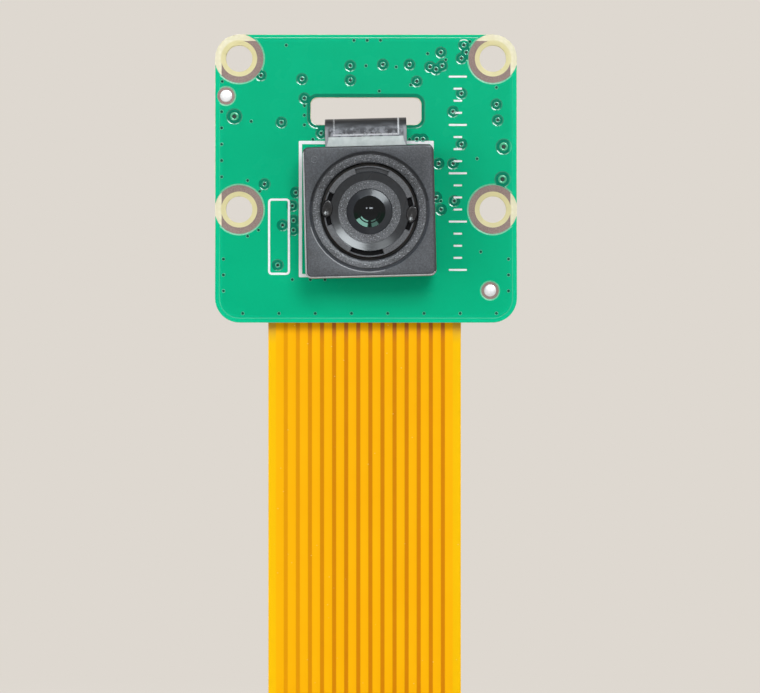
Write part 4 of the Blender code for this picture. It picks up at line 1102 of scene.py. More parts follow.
for side, (signal, power, stitching) in SHOWN_VIAS.items():
    holes = spread(signal, side, HOLE_LIFT) + spread(power, side, HOLE_LIFT, POWER_SCALE)
    stitches = spread(stitching, side, COPPER_HEIGHT)
    rings("via_pads_" + side, via_pad, spread(signal, side, VIA_LIFT), VIA_RING)
    rings("power_pads_" + side, power_pad, spread(power, side, POWER_LIFT), POWER_RING)
    bars("via_holes_" + side, via_hole, holes, VIA_HOLE)
    rings("stitch_rims_" + side, stitch_rim, stitches, STITCH_RING)
    bars("stitch_holes_" + side, stitch_hole, stitches, STITCH_HOLE)

TICK_X = 7.6
TICK_LOW = -5.0
TICK_COUNT = 17
LONG_EVERY = 4
SHORT_TICK, LONG_TICK, TICK_CORNER = 0.7, 1.5, 0.05
tick_places = [(TICK_X, TICK_LOW + step) for step in range(TICK_COUNT)]
long_places = tick_places[::LONG_EVERY]
short_places = [spot for spot in tick_places if spot not in long_places]
for name, places, length in (
    ("short_ticks", short_places, SHORT_TICK),
    ("long_ticks", long_places, LONG_TICK),
):
    tick = (length, INK_LINE, INK_THICKNESS, TICK_CORNER)
    bars(name, white_ink, spread(places, "front", COPPER_HEIGHT), tick)

# %% [markdown]
# ## The lens module
# The black block on the front holds the lens and the motor that moves it. Its cover is a square
# can with a round opening: square outside, round inside. A loft does that well: every ring has the
# same number of points, the outer ones follow a rounded square, the inner ones a circle. The
# module was glued on slightly turned, by about 1.4 degrees, so its points go through a small
# function that turns them and puts them on the lens axis.

# %% Lens axis and rings
AXIS_X = 0.30
AXIS_Z = -0.28
MODULE_TURN = math.radians(1.44)
LOFT_STEPS = 288
TURNED_STEPS = 128


def on_axis(u, v, height):
    """World point in millimetres from a place beside the lens axis and a height over the board."""
    x = AXIS_X + math.cos(MODULE_TURN) * u - math.sin(MODULE_TURN) * v
    z = AXIS_Z + math.sin(MODULE_TURN) * u + math.cos(MODULE_TURN) * v
    return (x, BOARD_FRONT - height, z)


def off_axis(middle):
    """How far a face's middle is from the lens axis, in millimetres."""
    return math.hypot(middle.x / MM - AXIS_X, middle.z / MM - AXIS_Z)


def round_ring(radius, height, steps=LOFT_STEPS):
    turns = [2 * math.pi * step / steps for step in range(steps)]
    return [on_axis(radius * math.cos(turn), radius * math.sin(turn), height) for turn in turns]


def square_ring(half, corner, height):
    ring = []
    inner = half - corner
    for step in range(LOFT_STEPS):
        turn = 2 * math.pi * step / LOFT_STEPS
        across, upwards = abs(math.cos(turn)), abs(math.sin(turn))
        reach = half / max(across, upwards)
        if min(reach * across, reach * upwards) > inner:
            middle = inner * (across + upwards)
            reach = middle + math.sqrt(middle ** 2 - 2 * inner ** 2 + corner ** 2)
        ring.append(on_axis(reach * math.cos(turn), reach * math.sin(turn), height))
    return ring


def loft(name, sections):
    """A closed skin over sections of equal count, the last of which joins the first."""
    points = [point for section in sections for point in section]
    return mesh_from(name, points, skin_faces(len(sections), len(sections[0]), True))


print(f"loft of {LOFT_STEPS} steps round the lens axis")

# %% [markdown]
# ## Cover of the module
# The cover is moulded in black plastic. A round recess in its front has a floor with a rough,
# eroded grain and a thin groove round it, and the floor rolls over into the opening. A pale colour
# on its lower and left outer edges, and on the lip of the recess at the lower left, is a painted
# highlight. The outer part of the top edge and the rest of the other edges' rounding are painted
# dark as shade, and so are the groove, the steep slope into the opening and the upper half of the
# recess wall. Each of these zones gets a finish of its own, which a function picks from the place
# and slope of a face. A small ring near one corner marks where the plastic was let into the mould.

# %% Cover
COVER_LOW, COVER_HIGH = 2.30, 7.20
COVER_HALF = 5.37
COVER_CORNER = 0.5
COVER_WALL = 0.47
COVER_FRONT_WALL = 0.6
COVER_ROUND = 0.2
INNER_CORNER = 0.2
RECESS_OUTER = 5.00
RECESS_EDGE = 4.93
RECESS_CHAMFER = 0.03
GROOVE_OUTER = 4.74
GROOVE_FLOOR = 4.70
GROOVE_INNER = 4.65
RECESS_FLOOR = COVER_HIGH - 0.26
GROOVE_LOW = RECESS_FLOOR - 0.08
OPENING_RADIUS = 4.0
LIP_REACH, LIP_DROP = 0.42, 0.32
ROUND_STEPS = 4

quarter_turns = [math.pi / 2 * step / ROUND_STEPS for step in range(ROUND_STEPS + 1)]
cover_rings = [square_ring(COVER_HALF, COVER_CORNER, COVER_LOW)]
for turn in quarter_turns:
    inset = COVER_ROUND * (1 - math.cos(turn))
    height = COVER_HIGH - COVER_ROUND * (1 - math.sin(turn))
    cover_rings.append(square_ring(COVER_HALF - inset, COVER_CORNER - inset, height))
for radius, height in (
    (RECESS_OUTER, COVER_HIGH), (RECESS_EDGE, COVER_HIGH - RECESS_CHAMFER),
    (GROOVE_OUTER, GROOVE_LOW), (GROOVE_FLOOR, GROOVE_LOW), (GROOVE_INNER, RECESS_FLOOR),
):
    cover_rings.append(round_ring(radius, height))
for turn in quarter_turns:
    radius = OPENING_RADIUS + LIP_REACH * (1 - math.sin(turn))
    cover_rings.append(round_ring(radius, RECESS_FLOOR - LIP_DROP * (1 - math.cos(turn))))
inner_half = COVER_HALF - COVER_WALL
inner_high = COVER_HIGH - COVER_FRONT_WALL
cover_rings.append(round_ring(OPENING_RADIUS, inner_high))
cover_rings += [square_ring(inner_half, INNER_CORNER, height) for height in (inner_high, COVER_LOW)]
cover_mesh = loft("cover", cover_rings)

moulded = grained("moulded_black", (46, 50, 56), (74, 79, 86), 0.12, 0.42, 0.016)
eroded = grained("eroded_black", (32, 35, 39), (92, 96, 102), 0.10, 0.4, 0.04)
sparks = eroded.step(eroded.noise(0.12, 1.0), 0.60, 0.70)
eroded.set("Base Color", eroded.mix(sparks, eroded.colour, (140, 145, 152)))
# The two pale finishes below are painted highlights, and the dark shaded one is painted shade.
edge_highlight = grained("edge_highlight_black", (150, 153, 158), (186, 189, 194), 0.10, 0.45, 0.016)
shaded = grained("shaded_black", (32, 34, 38), (54, 57, 62), 0.12, 0.5, 0.016)
lip_highlight = grained("lip_highlight_black", (108, 111, 116), (140, 143, 148), 0.10, 0.45, 0.016)
cover_finishes = [moulded, eroded, edge_highlight, shaded, lip_highlight]


def cover_finish(face):
    """The finish of a face of the cover, painted highlight and painted shade included."""
    radius = off_axis(face.center)
    towards_front = -face.normal.y
    if radius > COVER_HALF - COVER_ROUND and 0.1 < towards_front < 0.99:
        is_outer = towards_front < 0.9
        if face.normal.z > 0.15:
            return shaded if is_outer else moulded
        return edge_highlight if is_outer and min(face.normal.x, face.normal.z) < -0.2 else shaded
    if OPENING_RADIUS < radius < GROOVE_INNER and towards_front > 0.3:
        return eroded
    if OPENING_RADIUS < radius < GROOVE_OUTER:
        return shaded
    if radius < RECESS_EDGE and towards_front < 0.98 and face.normal.z < -0.15:
        return shaded if radius > GROOVE_OUTER else moulded
    on_lip = RECESS_EDGE < radius < RECESS_OUTER and towards_front < 0.98
    return lip_highlight if on_lip and face.normal.z > 0.1 and face.normal.x > -0.1 else moulded


for face in cover_mesh.polygons:
    face.material_index = cover_finishes.index(cover_finish(face))
add_piece("cover", cover_mesh, cover_finishes, "board", ["module_cover"], 30)
print(f"cover of {len(cover_mesh.polygons)} faces")
GATE_PLACE = (-4.40, 4.33)
GATE_RING = (0.25, 0.05)
gate_black = grained("gate_black", (62, 66, 72), (92, 96, 102), 0.12, 0.42, 0.016)
gate_spot = (on_axis(*GATE_PLACE, COVER_HIGH), TURNS["front"], 1.0)
rings("gate_mark", gate_black, [gate_spot], GATE_RING)

# %% [markdown]
# ## Carrier and barrel
# The moving lens is a screw-in barrel in a carrier. The carrier ends in four tabs with pockets
# between them and a thin rim outside. The barrel's front is a glossy cove that runs down to a
# rough flat ring, and in its middle sits the front glass. The barrel is turned, so it is a loft of
# circles. The carrier's tabs are made by giving each direction its own section.

# %% Carrier with its tabs
CARRIER_LOW, CARRIER_HIGH = 2.93, 6.58
CARRIER_LEDGE = 6.33
LEDGE_MARGIN = 0.05
CARRIER_BORE, TAB_INNER, RIM_INNER, CARRIER_RADIUS = 3.25, 3.27, 3.62, 3.75
CARRIER_EDGE = 0.03
TAB_HIGH = 6.73
TAB_COUNT = 4
TAB_STEPS = 12
TAB_FIRST = math.radians(40)
TAB_HALF = math.radians(22)
TAB_SLOPE = math.radians(0.8)
TOP_POCKET = AXIS_Z + RIM_INNER * math.cos(TAB_HALF) - 0.3


def carrier_directions():
    """Directions round the carrier with a pair at each end of each tab, and whether a tab is there."""
    directions = []
    gap = 2 * math.pi / TAB_COUNT - 2 * TAB_HALF - 2 * TAB_SLOPE
    for tab in range(TAB_COUNT):
        start = TAB_FIRST + tab * 2 * math.pi / TAB_COUNT - TAB_HALF
        end = start + 2 * TAB_HALF
        shares = [step / TAB_STEPS for step in range(TAB_STEPS + 1)]
        directions += [(start + 2 * TAB_HALF * share, True) for share in shares]
        directions += [(end + TAB_SLOPE + gap * share, False) for share in shares]
    return directions


def carrier_section(tab):
    """Outline of the carrier in (radius, height), through a tab or between two tabs."""
    edge = CARRIER_EDGE
    floor = TAB_HIGH if tab else CARRIER_LEDGE
    rim = TAB_HIGH if tab else CARRIER_HIGH
    wall = (rim, rim) if tab else (floor + edge, rim - edge)
    inside = [(CARRIER_BORE, CARRIER_LOW), (CARRIER_BORE, floor - edge), (TAB_INNER + edge, floor)]
    top = [(RIM_INNER - edge, floor), (RIM_INNER, wall[0]), (RIM_INNER, wall[1]), (RIM_INNER + edge, rim)]
    outside = [(CARRIER_RADIUS - edge, rim), (CARRIER_RADIUS, rim - edge), (CARRIER_RADIUS, CARRIER_LOW)]
    return inside + top + outside


carrier_points = []
directions = carrier_directions()
for turn, tab in directions:
    for radius, height in carrier_section(tab):
        carrier_points.append(on_axis(radius * math.cos(turn), radius * math.sin(turn), height))
carrier_faces = skin_faces(len(directions), len(carrier_section(True)), True)
carrier_mesh = mesh_from("carrier", carrier_points, carrier_faces)
tab_plastic = grained("tab_plastic", (56, 59, 63), (92, 95, 100), 0.10, 0.45, 0.025)
shade_black = grained("shade_black", (14, 14, 15), (20, 20, 22), 0.2, 0.8, 0.004)
shade_black.set("Specular IOR Level", 0.1)
# Faces below the ledge, the pocket floors between the tabs among them, are painted dark as shade, less dark
# near the top.
for face in carrier_mesh.polygons:
    middle = face.center / MM
    if BOARD_FRONT - middle.y < CARRIER_LEDGE + LEDGE_MARGIN:
        face.material_index = 2 if middle.z > TOP_POCKET else 1
carrier_finishes = [tab_plastic, shade_black, shaded]
add_piece("carrier", carrier_mesh, carrier_finishes, "lens", ["lens_carrier"], 30)
print(f"carrier of {len(carrier_mesh.polygons)} faces")

# %% Barrel
BARREL_RADIUS = 3.24
BARREL_HIGH = CARRIER_HIGH + 0.03
BARREL_LOW = CARRIER_HIGH - 3.35
BARREL_RIM = 0.02
BARREL_BORE = 2.7
LENS_SEAT = 2.03
SEAT_DEPTH, SEAT_SLOPE = 1.5, 0.1
COVE_DROP = 0.29
COVE_POWER = 1.05
COVE_STEPS = 14
PLATEAU_OUTER, PLATEAU_INNER = 2.56, 1.86
PLATEAU_HIGH = BARREL_HIGH - COVE_DROP
PLATEAU_LOW = PLATEAU_HIGH - 0.05
PLATEAU_EDGE = 0.03
PLATEAU_MARGIN = 0.004

seat_low = PLATEAU_HIGH - SEAT_DEPTH
barrel_profile = [(BARREL_BORE, BARREL_LOW), (BARREL_BORE, seat_low - SEAT_SLOPE)]
barrel_profile += [(LENS_SEAT, seat_low), (LENS_SEAT, PLATEAU_LOW), (PLATEAU_INNER, PLATEAU_LOW)]
barrel_profile += [(PLATEAU_INNER, PLATEAU_HIGH - PLATEAU_EDGE), (PLATEAU_INNER + PLATEAU_EDGE, PLATEAU_HIGH)]
for step in range(COVE_STEPS + 1):
    share = step / COVE_STEPS
    radius = PLATEAU_OUTER + (BARREL_RADIUS - BARREL_RIM - PLATEAU_OUTER) * share
    barrel_profile.append((radius, PLATEAU_HIGH + COVE_DROP * share ** COVE_POWER))
barrel_profile += [(BARREL_RADIUS, BARREL_HIGH - BARREL_RIM), (BARREL_RADIUS, BARREL_LOW)]
barrel_mesh = loft("barrel", [round_ring(radius, height, TURNED_STEPS) for radius, height in barrel_profile])
gloss_black = grained("gloss_black", (28, 31, 36), (36, 40, 45), 0.4, 0.26, 0.002)
gloss_black.set("Specular IOR Level", 0.45)
for face in barrel_mesh.polygons:
    flat = abs(BOARD_FRONT - face.center.y / MM - PLATEAU_HIGH) < PLATEAU_MARGIN
    face.material_index = 1 if flat and PLATEAU_INNER < off_axis(face.center) < PLATEAU_OUTER else 0
add_piece("barrel", barrel_mesh, [gloss_black, eroded], "lens", ["lens_barrel"], 25)
print(f"barrel of {len(barrel_mesh.polygons)} faces")

# %% [markdown]
# ## Front glass
# A small lens looks black with a few sharp reflections: two hollow bands in its pupil mirror the
# lamps in green, and a bevel round it mirrors one pale crescent. Real glass with lenses behind it
# gives speckles at this size. So the glass is opaque and black, its shape is a plain dome, and the
# finish tilts the surface normal by its distance from the lens axis, which puts each reflection
# where the photograph has it. The stop behind it is turned like the glass.

# %% Glass finish
GLASS_CURVE = 3.6
MIRROR_SLOPE = 0.466
MIRROR_BANDS = ((0.73, 0.86), (0.95, 1.40))
BAND_EDGE = 0.03
BEVEL_START, BEVEL_END = 1.28, 1.34


def lens_glass():
    """Black glass: a domed middle, two hollow mirror bands and a bevel that slopes outwards."""
    glass = Finish("lens_glass", 0.07)
    x, _, z = glass.axes(glass.place)
    across = x - AXIS_X * MM
    upwards = z - AXIS_Z * MM
    radius = (across ** 2 + upwards ** 2) ** 0.5
    outside = glass.step(radius, BEVEL_START * MM, BEVEL_END * MM)
    bands = 0.0
    for inner, outer in MIRROR_BANDS:
        rising = glass.step(radius, inner * MM, (inner + BAND_EDGE) * MM)
        falling = glass.step(radius, (outer + BAND_EDGE) * MM, outer * MM)
        bands = glass.math("MAXIMUM", bands, rising * falling)
    bands = bands * glass.step(upwards, 0.1 * MM, -0.3 * MM)
    slope = radius / (GLASS_CURVE * MM)
    for share, own_slope in ((bands, -MIRROR_SLOPE), (outside, MIRROR_SLOPE)):
        slope = share * own_slope + (1.0 - share) * slope
    lean = slope / radius
    facing = glass.add("ShaderNodeCombineXYZ", {0: across * lean, 1: -1.0, 2: upwards * lean})
    unit = glass.add("ShaderNodeVectorMath", {0: facing.outputs[0]}, operation="NORMALIZE").outputs[0]
    glass.set("Normal", unit)
    glass.set("Coat Normal", unit)
    haze = glass.noise(0.4, 3.0)
    pupil = glass.mix(haze, (1, 1, 2), (4, 5, 6))
    wall = glass.mix(haze, (38, 40, 44), (48, 50, 55))
    glass.set("Base Color", glass.mix(outside, pupil, wall))
    tint = glass.mix(bands, (0.84, 0.92, 1.0, 1.0), (0.5, 1.0, 0.8, 1.0))
    glass.set("Specular Tint", glass.mix(outside, tint, (0.05, 0.05, 0.05, 1.0)))
    glass.set("Specular IOR Level", 0.28)
    bright_side = glass.step(across, -0.5 * MM, 0.1 * MM) * 0.75 + 0.25
    glass.set("Coat Weight", outside * bright_side)
    glass.set("Coat Tint", (0.93, 0.98, 1.0, 1.0))
    glass.set("Coat Roughness", 0.28)
    glass.set("Coat IOR", 1.36)
    return glass


coated_glass = Finish("coated_glass", 0.05)
coated_glass.set("Base Color", coated_glass.mix(coated_glass.noise(0.6), (8, 10, 12), (12, 16, 17)))
coated_glass.set("Specular Tint", (0.45, 1.0, 0.7, 1.0))
stop_black = grained("stop_black", (40, 41, 43), (54, 55, 58), 0.1, 0.6, 0.003)
print("glass finishes mixed")

# %% Glass and stop
LENS_EDGE = PLATEAU_LOW - 0.02
LENS_RADIUS = 2.0
LENS_BACK = LENS_EDGE - 0.62
LENS_BACK_RADIUS, LENS_HOLLOW = 1.7, 0.10
GLASS_RADIUS, GLASS_BULGE = PLATEAU_INNER - 0.01, 0.50
GLASS_STEPS = 16
TIP_RADIUS = 1e-4
STOP_HIGH = LENS_BACK - 0.04
STOP_THICKNESS = 0.05
STOP_OUTER, STOP_INNER = 1.95, 1.30
STOP_EDGE = 0.04


def turned(name, profile, finish, stands_for):
    """A turned piece on the lens axis that moves with the lens; a tip stays a tiny circle."""
    sections = [round_ring(max(radius, TIP_RADIUS), height, TURNED_STEPS) for radius, height in profile]
    add_piece(name, loft(name, sections), [finish], "lens", [stands_for], 30)


glass_profile = [(LENS_RADIUS, LENS_BACK), (LENS_RADIUS, LENS_EDGE)]
for step in range(GLASS_STEPS + 1):
    share = 1 - step / GLASS_STEPS
    glass_profile.append((GLASS_RADIUS * share, LENS_EDGE + GLASS_BULGE * (1 - share ** 2)))
for share in (0, 0.25, 0.5, 0.75, 1):
    glass_profile.append((LENS_BACK_RADIUS * share, LENS_BACK + LENS_HOLLOW * (1 - share ** 2)))
turned("front_glass", glass_profile, lens_glass(), "front_lens")
stop_low = STOP_HIGH - STOP_THICKNESS
stop_profile = [(STOP_OUTER, STOP_HIGH), (STOP_INNER + STOP_EDGE, STOP_HIGH)]
stop_profile.append((STOP_INNER, (STOP_HIGH + stop_low) / 2))
stop_profile += [(STOP_INNER + STOP_EDGE, stop_low), (STOP_OUTER, stop_low)]
turned("stop_ring", stop_profile, stop_black, "aperture_stop")
print("glass and stop turned")

# %% [markdown]
# ## Glue dots
# Two smears of black glue lock the barrel in the carrier once it is in focus. Each is a skin of
# wobbly ovals with a raised brim round a shallow dip, so that it catches light at its edge.

# %% Glue dots
GLUE_ANGLES = {"glue_dot_left": math.radians(175), "glue_dot_right": math.radians(-5)}
GLUE_RADIUS = 3.48
GLUE_REACH, GLUE_LENGTH, GLUE_HEIGHT = 0.46, 0.78, 0.44
GLUE_LOW = CARRIER_HIGH + 0.02
GLUE_DIP = 0.15
GLUE_RINGS, GLUE_STEPS = 18, 40
glue_black = grained("glue_black", (24, 25, 27), (38, 39, 42), 0.5, 0.22, 0.006)
glue_black.set("Specular IOR Level", 0.4)


def glue_smear(angle):
    """Points of a smear, ring by ring from its foot."""
    points = []
    for ring in range(GLUE_RINGS):
        share = 1 - ring / GLUE_RINGS
        brim = GLUE_DIP + (1 - GLUE_DIP) * share ** 2
        height = GLUE_LOW + GLUE_HEIGHT * (1 - share ** 6) * brim
        for step in range(GLUE_STEPS):
            turn = 2 * math.pi * step / GLUE_STEPS
            wobble = 1 + 0.06 * math.sin(2 * turn + 0.6) + 0.04 * math.sin(3 * turn)
            radius = GLUE_RADIUS + GLUE_REACH * wobble * share * math.cos(turn)
            beside = GLUE_LENGTH * wobble * share * math.sin(turn)
            u = radius * math.cos(angle) - beside * math.sin(angle)
            v = radius * math.sin(angle) + beside * math.cos(angle)
            points.append(on_axis(u, v, height))
    return points


glue_top = (GLUE_RINGS - 1) * GLUE_STEPS
glue_faces = skin_faces(GLUE_RINGS, GLUE_STEPS)
glue_faces += [tuple(range(glue_top, glue_top + GLUE_STEPS)), tuple(range(GLUE_STEPS - 1, -1, -1))]
for node, angle in GLUE_ANGLES.items():
    glue_mesh = mesh_from("soft_" + node, glue_smear(angle), glue_faces)
    add_piece("soft_" + node, glue_mesh, [glue_black], "lens", [node])
print(f"{len(GLUE_ANGLES)} glue dots")

# %% [markdown]
# ## Sensor flex and its glue bead
# A dark flex leaves the module at the top, bends through the slot and plugs into a socket on the
# back. It is a strip swept along its path. White printed lines on it follow its UV map. Its colour
# also carries painted light: streaks and pale blots low down stand in for a metallic sheen, its
# edges are painted bright low down as a highlight, and from the bend on it is painted darker as
# shade. Where it leaves the module, a milky bead of glue holds it, which is a small bulged grid.

# %% Sensor flex
FLEX_WIDTH = 6.75
FLEX_SHIFT = -0.15
FLEX_THICKNESS = 0.12
FLEX_EDGE = 0.03
FLEX_START = Vector((5.17, 0.59))
FLEX_LEAD = Vector((0.6, 0))
FLEX_BEND_CENTRE = Vector((6.49, -0.715))
FLEX_BEND_RADIUS = 1.305
FLEX_BEND_STEPS = 28
FLEX_MIDWAY = Vector((4.0, -2.02))
FLEX_END = Vector((2.03, -2.02))
FLEX_UNIT = 10.0


def on_flex(across, spot):
    return on_axis(across + FLEX_SHIFT, spot.x, spot.y)


flex_path = [FLEX_START, FLEX_START + FLEX_LEAD]
for step in range(FLEX_BEND_STEPS + 1):
    turn = math.pi / 2 - math.pi * step / FLEX_BEND_STEPS
    flex_path.append(FLEX_BEND_CENTRE + FLEX_BEND_RADIUS * Vector((math.cos(turn), math.sin(turn))))
flex_path += [FLEX_MIDWAY, FLEX_END]
half_width, half_thick = FLEX_WIDTH / 2, FLEX_THICKNESS / 2
edge_points = [(half_width - FLEX_EDGE, half_thick), (half_width, half_thick - FLEX_EDGE)]
flex_outline = [(-across, height) for across, height in reversed(edge_points)] + edge_points
flex_outline += [(across, -height) for across, height in reversed(flex_outline)]
flex_mesh = strip("flex", flex_path, flex_outline, on_flex, -1, FLEX_WIDTH, FLEX_UNIT)


def flex_finish():
    film = Finish("dark_flex", 0.3)
    across_share, along_share, _ = film.axes(film.uv)
    across = across_share * FLEX_WIDTH - FLEX_WIDTH / 2
    along = along_share * FLEX_UNIT
    streaks = film.noise(0.35, 4.0, (5, 1, 1))
    blots = film.noise(0.5, 3.0)
    low = film.step(along, 2.2, 1.5)
    # Painted light: streaks and pale blots stand in for sheen, the bright edges low down are a painted
    # highlight, and the darker colour from the bend on is painted shade.
    dark = film.mix(film.step(streaks, 0.35, 0.7), (62, 64, 69), (96, 99, 105))
    dark = film.mix(film.step(blots, 0.42, 0.62) * low, dark, (142, 146, 153))
    dark = film.mix(film.step(abs(across), 3.0, 3.25) * low, dark, (156, 160, 166))
    dark = film.mix(film.step(along, 1.9, 2.6), dark, (44, 45, 49))
    offsets = (across + 2.62, across - 2.70, along - 1.30)
    left_line, right_line, cross_line = [film.step(abs(offset), 0.08, 0.05) for offset in offsets]
    upright = film.math("MAXIMUM", left_line * 0.45, right_line) * film.step(along, 1.2, 1.3)
    lines = film.math("MAXIMUM", upright, cross_line * film.step(abs(across), 2.75, 2.7))
    faded = lines * film.step(film.noise(0.12, 2.0), 0.3, 0.45)
    film.set("Base Color", film.mix(faded, dark, (204, 208, 213)))
    film.set("Roughness", streaks * 0.3 + 0.2)
    film.set("Specular IOR Level", 0.25)
    film.bump(blots, 0.01)
    return film


add_piece("flex", flex_mesh, [flex_finish()], "board", ["sensor_flex"])
print(f"flex of {len(flex_mesh.polygons)} faces")

# %% Glue bead
BEAD_LOW, BEAD_HIGH = 5.19, 6.31
BEAD_FOOT_WIDTH, BEAD_HEAD_WIDTH = 7.1, 6.2
BEAD_BASE, BEAD_TOP = 0.67, 0.92
BEAD_COLUMNS, BEAD_ROWS = 40, 10
bead_points = []
for row in range(BEAD_ROWS + 1):
    share = row / BEAD_ROWS
    width = BEAD_HEAD_WIDTH + (BEAD_FOOT_WIDTH - BEAD_HEAD_WIDTH) * (1 - share) ** 2
    for column in range(BEAD_COLUMNS + 1):
        across = 2 * column / BEAD_COLUMNS - 1
        bulge = (1 - across ** 8) * math.sin(math.pi * (0.25 + 0.75 * share)) ** 0.6
        upwards = BEAD_LOW + (BEAD_HIGH - BEAD_LOW) * share
        height = BEAD_BASE + (BEAD_TOP - BEAD_BASE) * max(bulge, 0)
        bead_points.append(on_flex(across * width / 2, Vector((upwards, height))))
bead_faces = []
for row in range(BEAD_ROWS):
    for column in range(BEAD_COLUMNS):
        corner = row * (BEAD_COLUMNS + 1) + column
        bead_faces.append((corner, corner + 1, corner + BEAD_COLUMNS + 2, corner + BEAD_COLUMNS + 1))
bead_mesh = mesh_from("bead", bead_points, bead_faces)
milky_glue = grained("milky_glue", (191, 201, 201), (213, 221, 221), 0.5, 0.3, 0.006)
milky_glue.set("Specular IOR Level", 0.2)
milky_glue.set("Subsurface Weight", 0.4)
milky_glue.set("Subsurface Radius", (0.0006, 0.0006, 0.0006))
add_piece("bead", bead_mesh, [milky_glue], "board", ["flex_glue_bead"])
print(f"bead of {len(bead_mesh.polygons)} faces")

# %% [markdown]
# ## Connectors and chips on the back
# The back carries the ribbon connector with its latch, the small socket of the sensor flex, three
# regulators and an oscillator. Their CAD shapes are right, so they only need soft edges and
# finishes. Chip resistors, capacitors and the regulators' legs are placed by the repeating trees.

# %% Connector, socket and chips
ivory = grained("ivory_plastic", (228, 220, 200), (234, 227, 208), 0.3, 0.45, 0.003)
latch_plastic = grained("latch_plastic", (58, 52, 46), (72, 66, 58), 0.25, 0.45, 0.004)
bright_tin = grained("bright_tin", (190, 192, 196), (214, 216, 220), 0.2, 0.3, 0.003, metallic=0.9)
epoxy = grained("chip_epoxy", (38, 38, 40), (54, 54, 56), 0.12, 0.55, 0.006)
can_metal = grained("can_metal", (182, 180, 175), (194, 192, 187), 0.3, 0.32, 0.002, metallic=0.9)
socket_black = grained("socket_black", (34, 34, 36), (46, 46, 48), 0.2, 0.5, 0.004)
softened("connector_housing", ivory, 0.06)
softened("connector_latch", latch_plastic, 0.06, "latch")
softened("board_socket", ivory, 0.04)
softened("flex_plug", socket_black, 0.04)
softened("flex_stiffener", can_metal, 0.04)
softened("oscillator", can_metal, 0.08)
for side in ("left", "right"):
    softened("hold_down_" + side, bright_tin, 0.04)
for node in REGULATORS:
    softened(node, epoxy, 0.06)
for node in CONTACTS:
    softened(node, bright_tin, 0.02, segments=1)
print("connector, socket and chips softened")

# %% Chip parts and legs
CHIP_LENGTH, CHIP_WIDTH = 1.0, 0.5
CAP_HEIGHT, RESISTOR_HEIGHT = 0.42, 0.3
BODY_LENGTH, END_LENGTH, END_EXTRA = 0.62, 0.2, 0.015
SMALL_CORNER = 0.05
LEG_SIZE = (0.6, 0.38, 0.16, SMALL_CORNER)
UPRIGHT_TURN = (-math.pi / 2, math.pi / 2, 0)
ceramic = grained("chip_ceramic", (150, 122, 92), (172, 144, 112), 0.15, 0.4, 0.004)
resistor_black = grained("resistor_black", (30, 31, 34), (42, 43, 46), 0.15, 0.4, 0.004)


def chip_places(places, shift=0.0):
    return [(back_of_board(x, z + shift, COPPER_HEIGHT), UPRIGHT_TURN, 1.0) for x, z in places]


def chip_ends(places):
    reach = (CHIP_LENGTH - END_LENGTH) / 2
    return chip_places(places, reach) + chip_places(places, -reach)


for name, places, height, finish, slot in (
    ("capacitor", CAP_PLACES, CAP_HEIGHT, ceramic, "tin_plate"),
    ("resistor", RESISTOR_PLACES, RESISTOR_HEIGHT, resistor_black, "black_plastic"),
):
    body_size = (BODY_LENGTH, CHIP_WIDTH, height, SMALL_CORNER)
    end_size = (END_LENGTH, CHIP_WIDTH + 2 * END_EXTRA, height + END_EXTRA, SMALL_CORNER)
    bars(name + "_bodies", finish, chip_places(places), body_size)
    bars(name + "_ends", bright_tin, chip_ends(places), end_size)
bars("regulator_legs", bright_tin, chip_places(LEG_PLACES), LEG_SIZE)

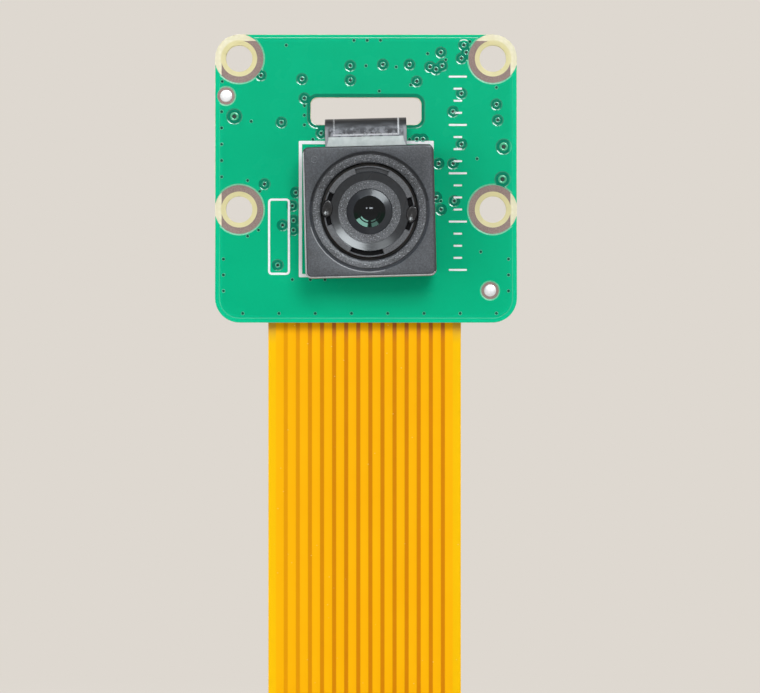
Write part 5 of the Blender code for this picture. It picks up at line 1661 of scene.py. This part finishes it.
# %% Solder pads and housing slots
PAD_HEIGHT, PAD_CORNER = 0.03, 0.06
TAIL_INSET, SLOT_INSET = 0.55, 0.75
HOUSING_SLOT = (0.8, 0.34, 0.008, PAD_CORNER)
solder_pad = grained("solder_pad", (186, 190, 194), (216, 219, 223), 0.12, 0.3, 0.008, metallic=0.8)
slot_shade = grained("slot_shade", (120, 112, 94), (146, 138, 118), 0.2, 0.6, 0.003)
housing_high = node_box("connector_housing")[3]
housing_back = max(corner.co.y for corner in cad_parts["connector_housing"].data.vertices) / MM
tail_pads = []
slots = []
for node in CONTACTS:
    left, _, right, high = node_box(node)
    middle = (left + right) / 2
    tail_pads.append((middle, high - TAIL_INSET))
    slots.append((back_of_board(middle, housing_high - SLOT_INSET, housing_back), UPRIGHT_TURN, 1.0))
for name, places, length, width in (
    ("chip_pads", chip_ends(CAP_PLACES) + chip_ends(RESISTOR_PLACES), 0.36, 0.62),
    ("leg_pads", chip_places(LEG_PADS), 0.6, 0.56),
    ("tail_pads", chip_places(tail_pads), 1.2, 0.5),
):
    bars(name, solder_pad, places, (length, width, PAD_HEIGHT, PAD_CORNER))
bars("housing_slots", slot_shade, slots, HOUSING_SLOT)

# %% [markdown]
# ## The pieces inside
# The rest of the CAD nodes sit in or under the module: motor, springs, magnets, sensor, filter and
# rear lenses on a small board with a foam pad. Little or nothing of each shows, so their CAD shapes
# stay and get finishes.

# %% Finishes for the inner nodes
spring = grained("blackened_spring", (24, 23, 22), (36, 35, 34), 0.2, 0.6, 0.002)
magnet_plate = grained("magnet_plate", (150, 150, 150), (178, 178, 178), 0.2, 0.35, 0.003, metallic=0.9)
inner_finishes = {
    "module_adhesive": grained("foam_pad", (56, 56, 58), (74, 74, 76), 0.15, 0.9, 0.01),
    "module_board": grained("module_board_mask", (26, 60, 48), (36, 74, 60), 0.3, 0.4, 0.003),
    "image_sensor": grained("silicon_die", (58, 64, 86), (78, 84, 104), 0.4, 0.2, 0.002, metallic=0.5),
    "voice_coil": grained("coil_copper", (96, 54, 34), (122, 72, 46), 0.05, 0.35, 0.01, metallic=0.8),
    "retaining_ring": stop_black,
}
inner_finishes |= dict.fromkeys(("filter_holder", "motor_base", "upper_frame"), socket_black)
inner_finishes |= dict.fromkeys(("infrared_filter", "second_lens", "third_lens", "rear_lens"), coated_glass)
inner_finishes |= dict.fromkeys(("lower_spring", "upper_spring"), spring)
for side in ("top", "bottom", "left", "right"):
    inner_finishes["magnet_" + side] = magnet_plate
for node, finish in inner_finishes.items():
    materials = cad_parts[node].data.materials
    materials.clear()
    materials.append(finish.material)
print(f"{len(inner_finishes)} inner nodes finished")
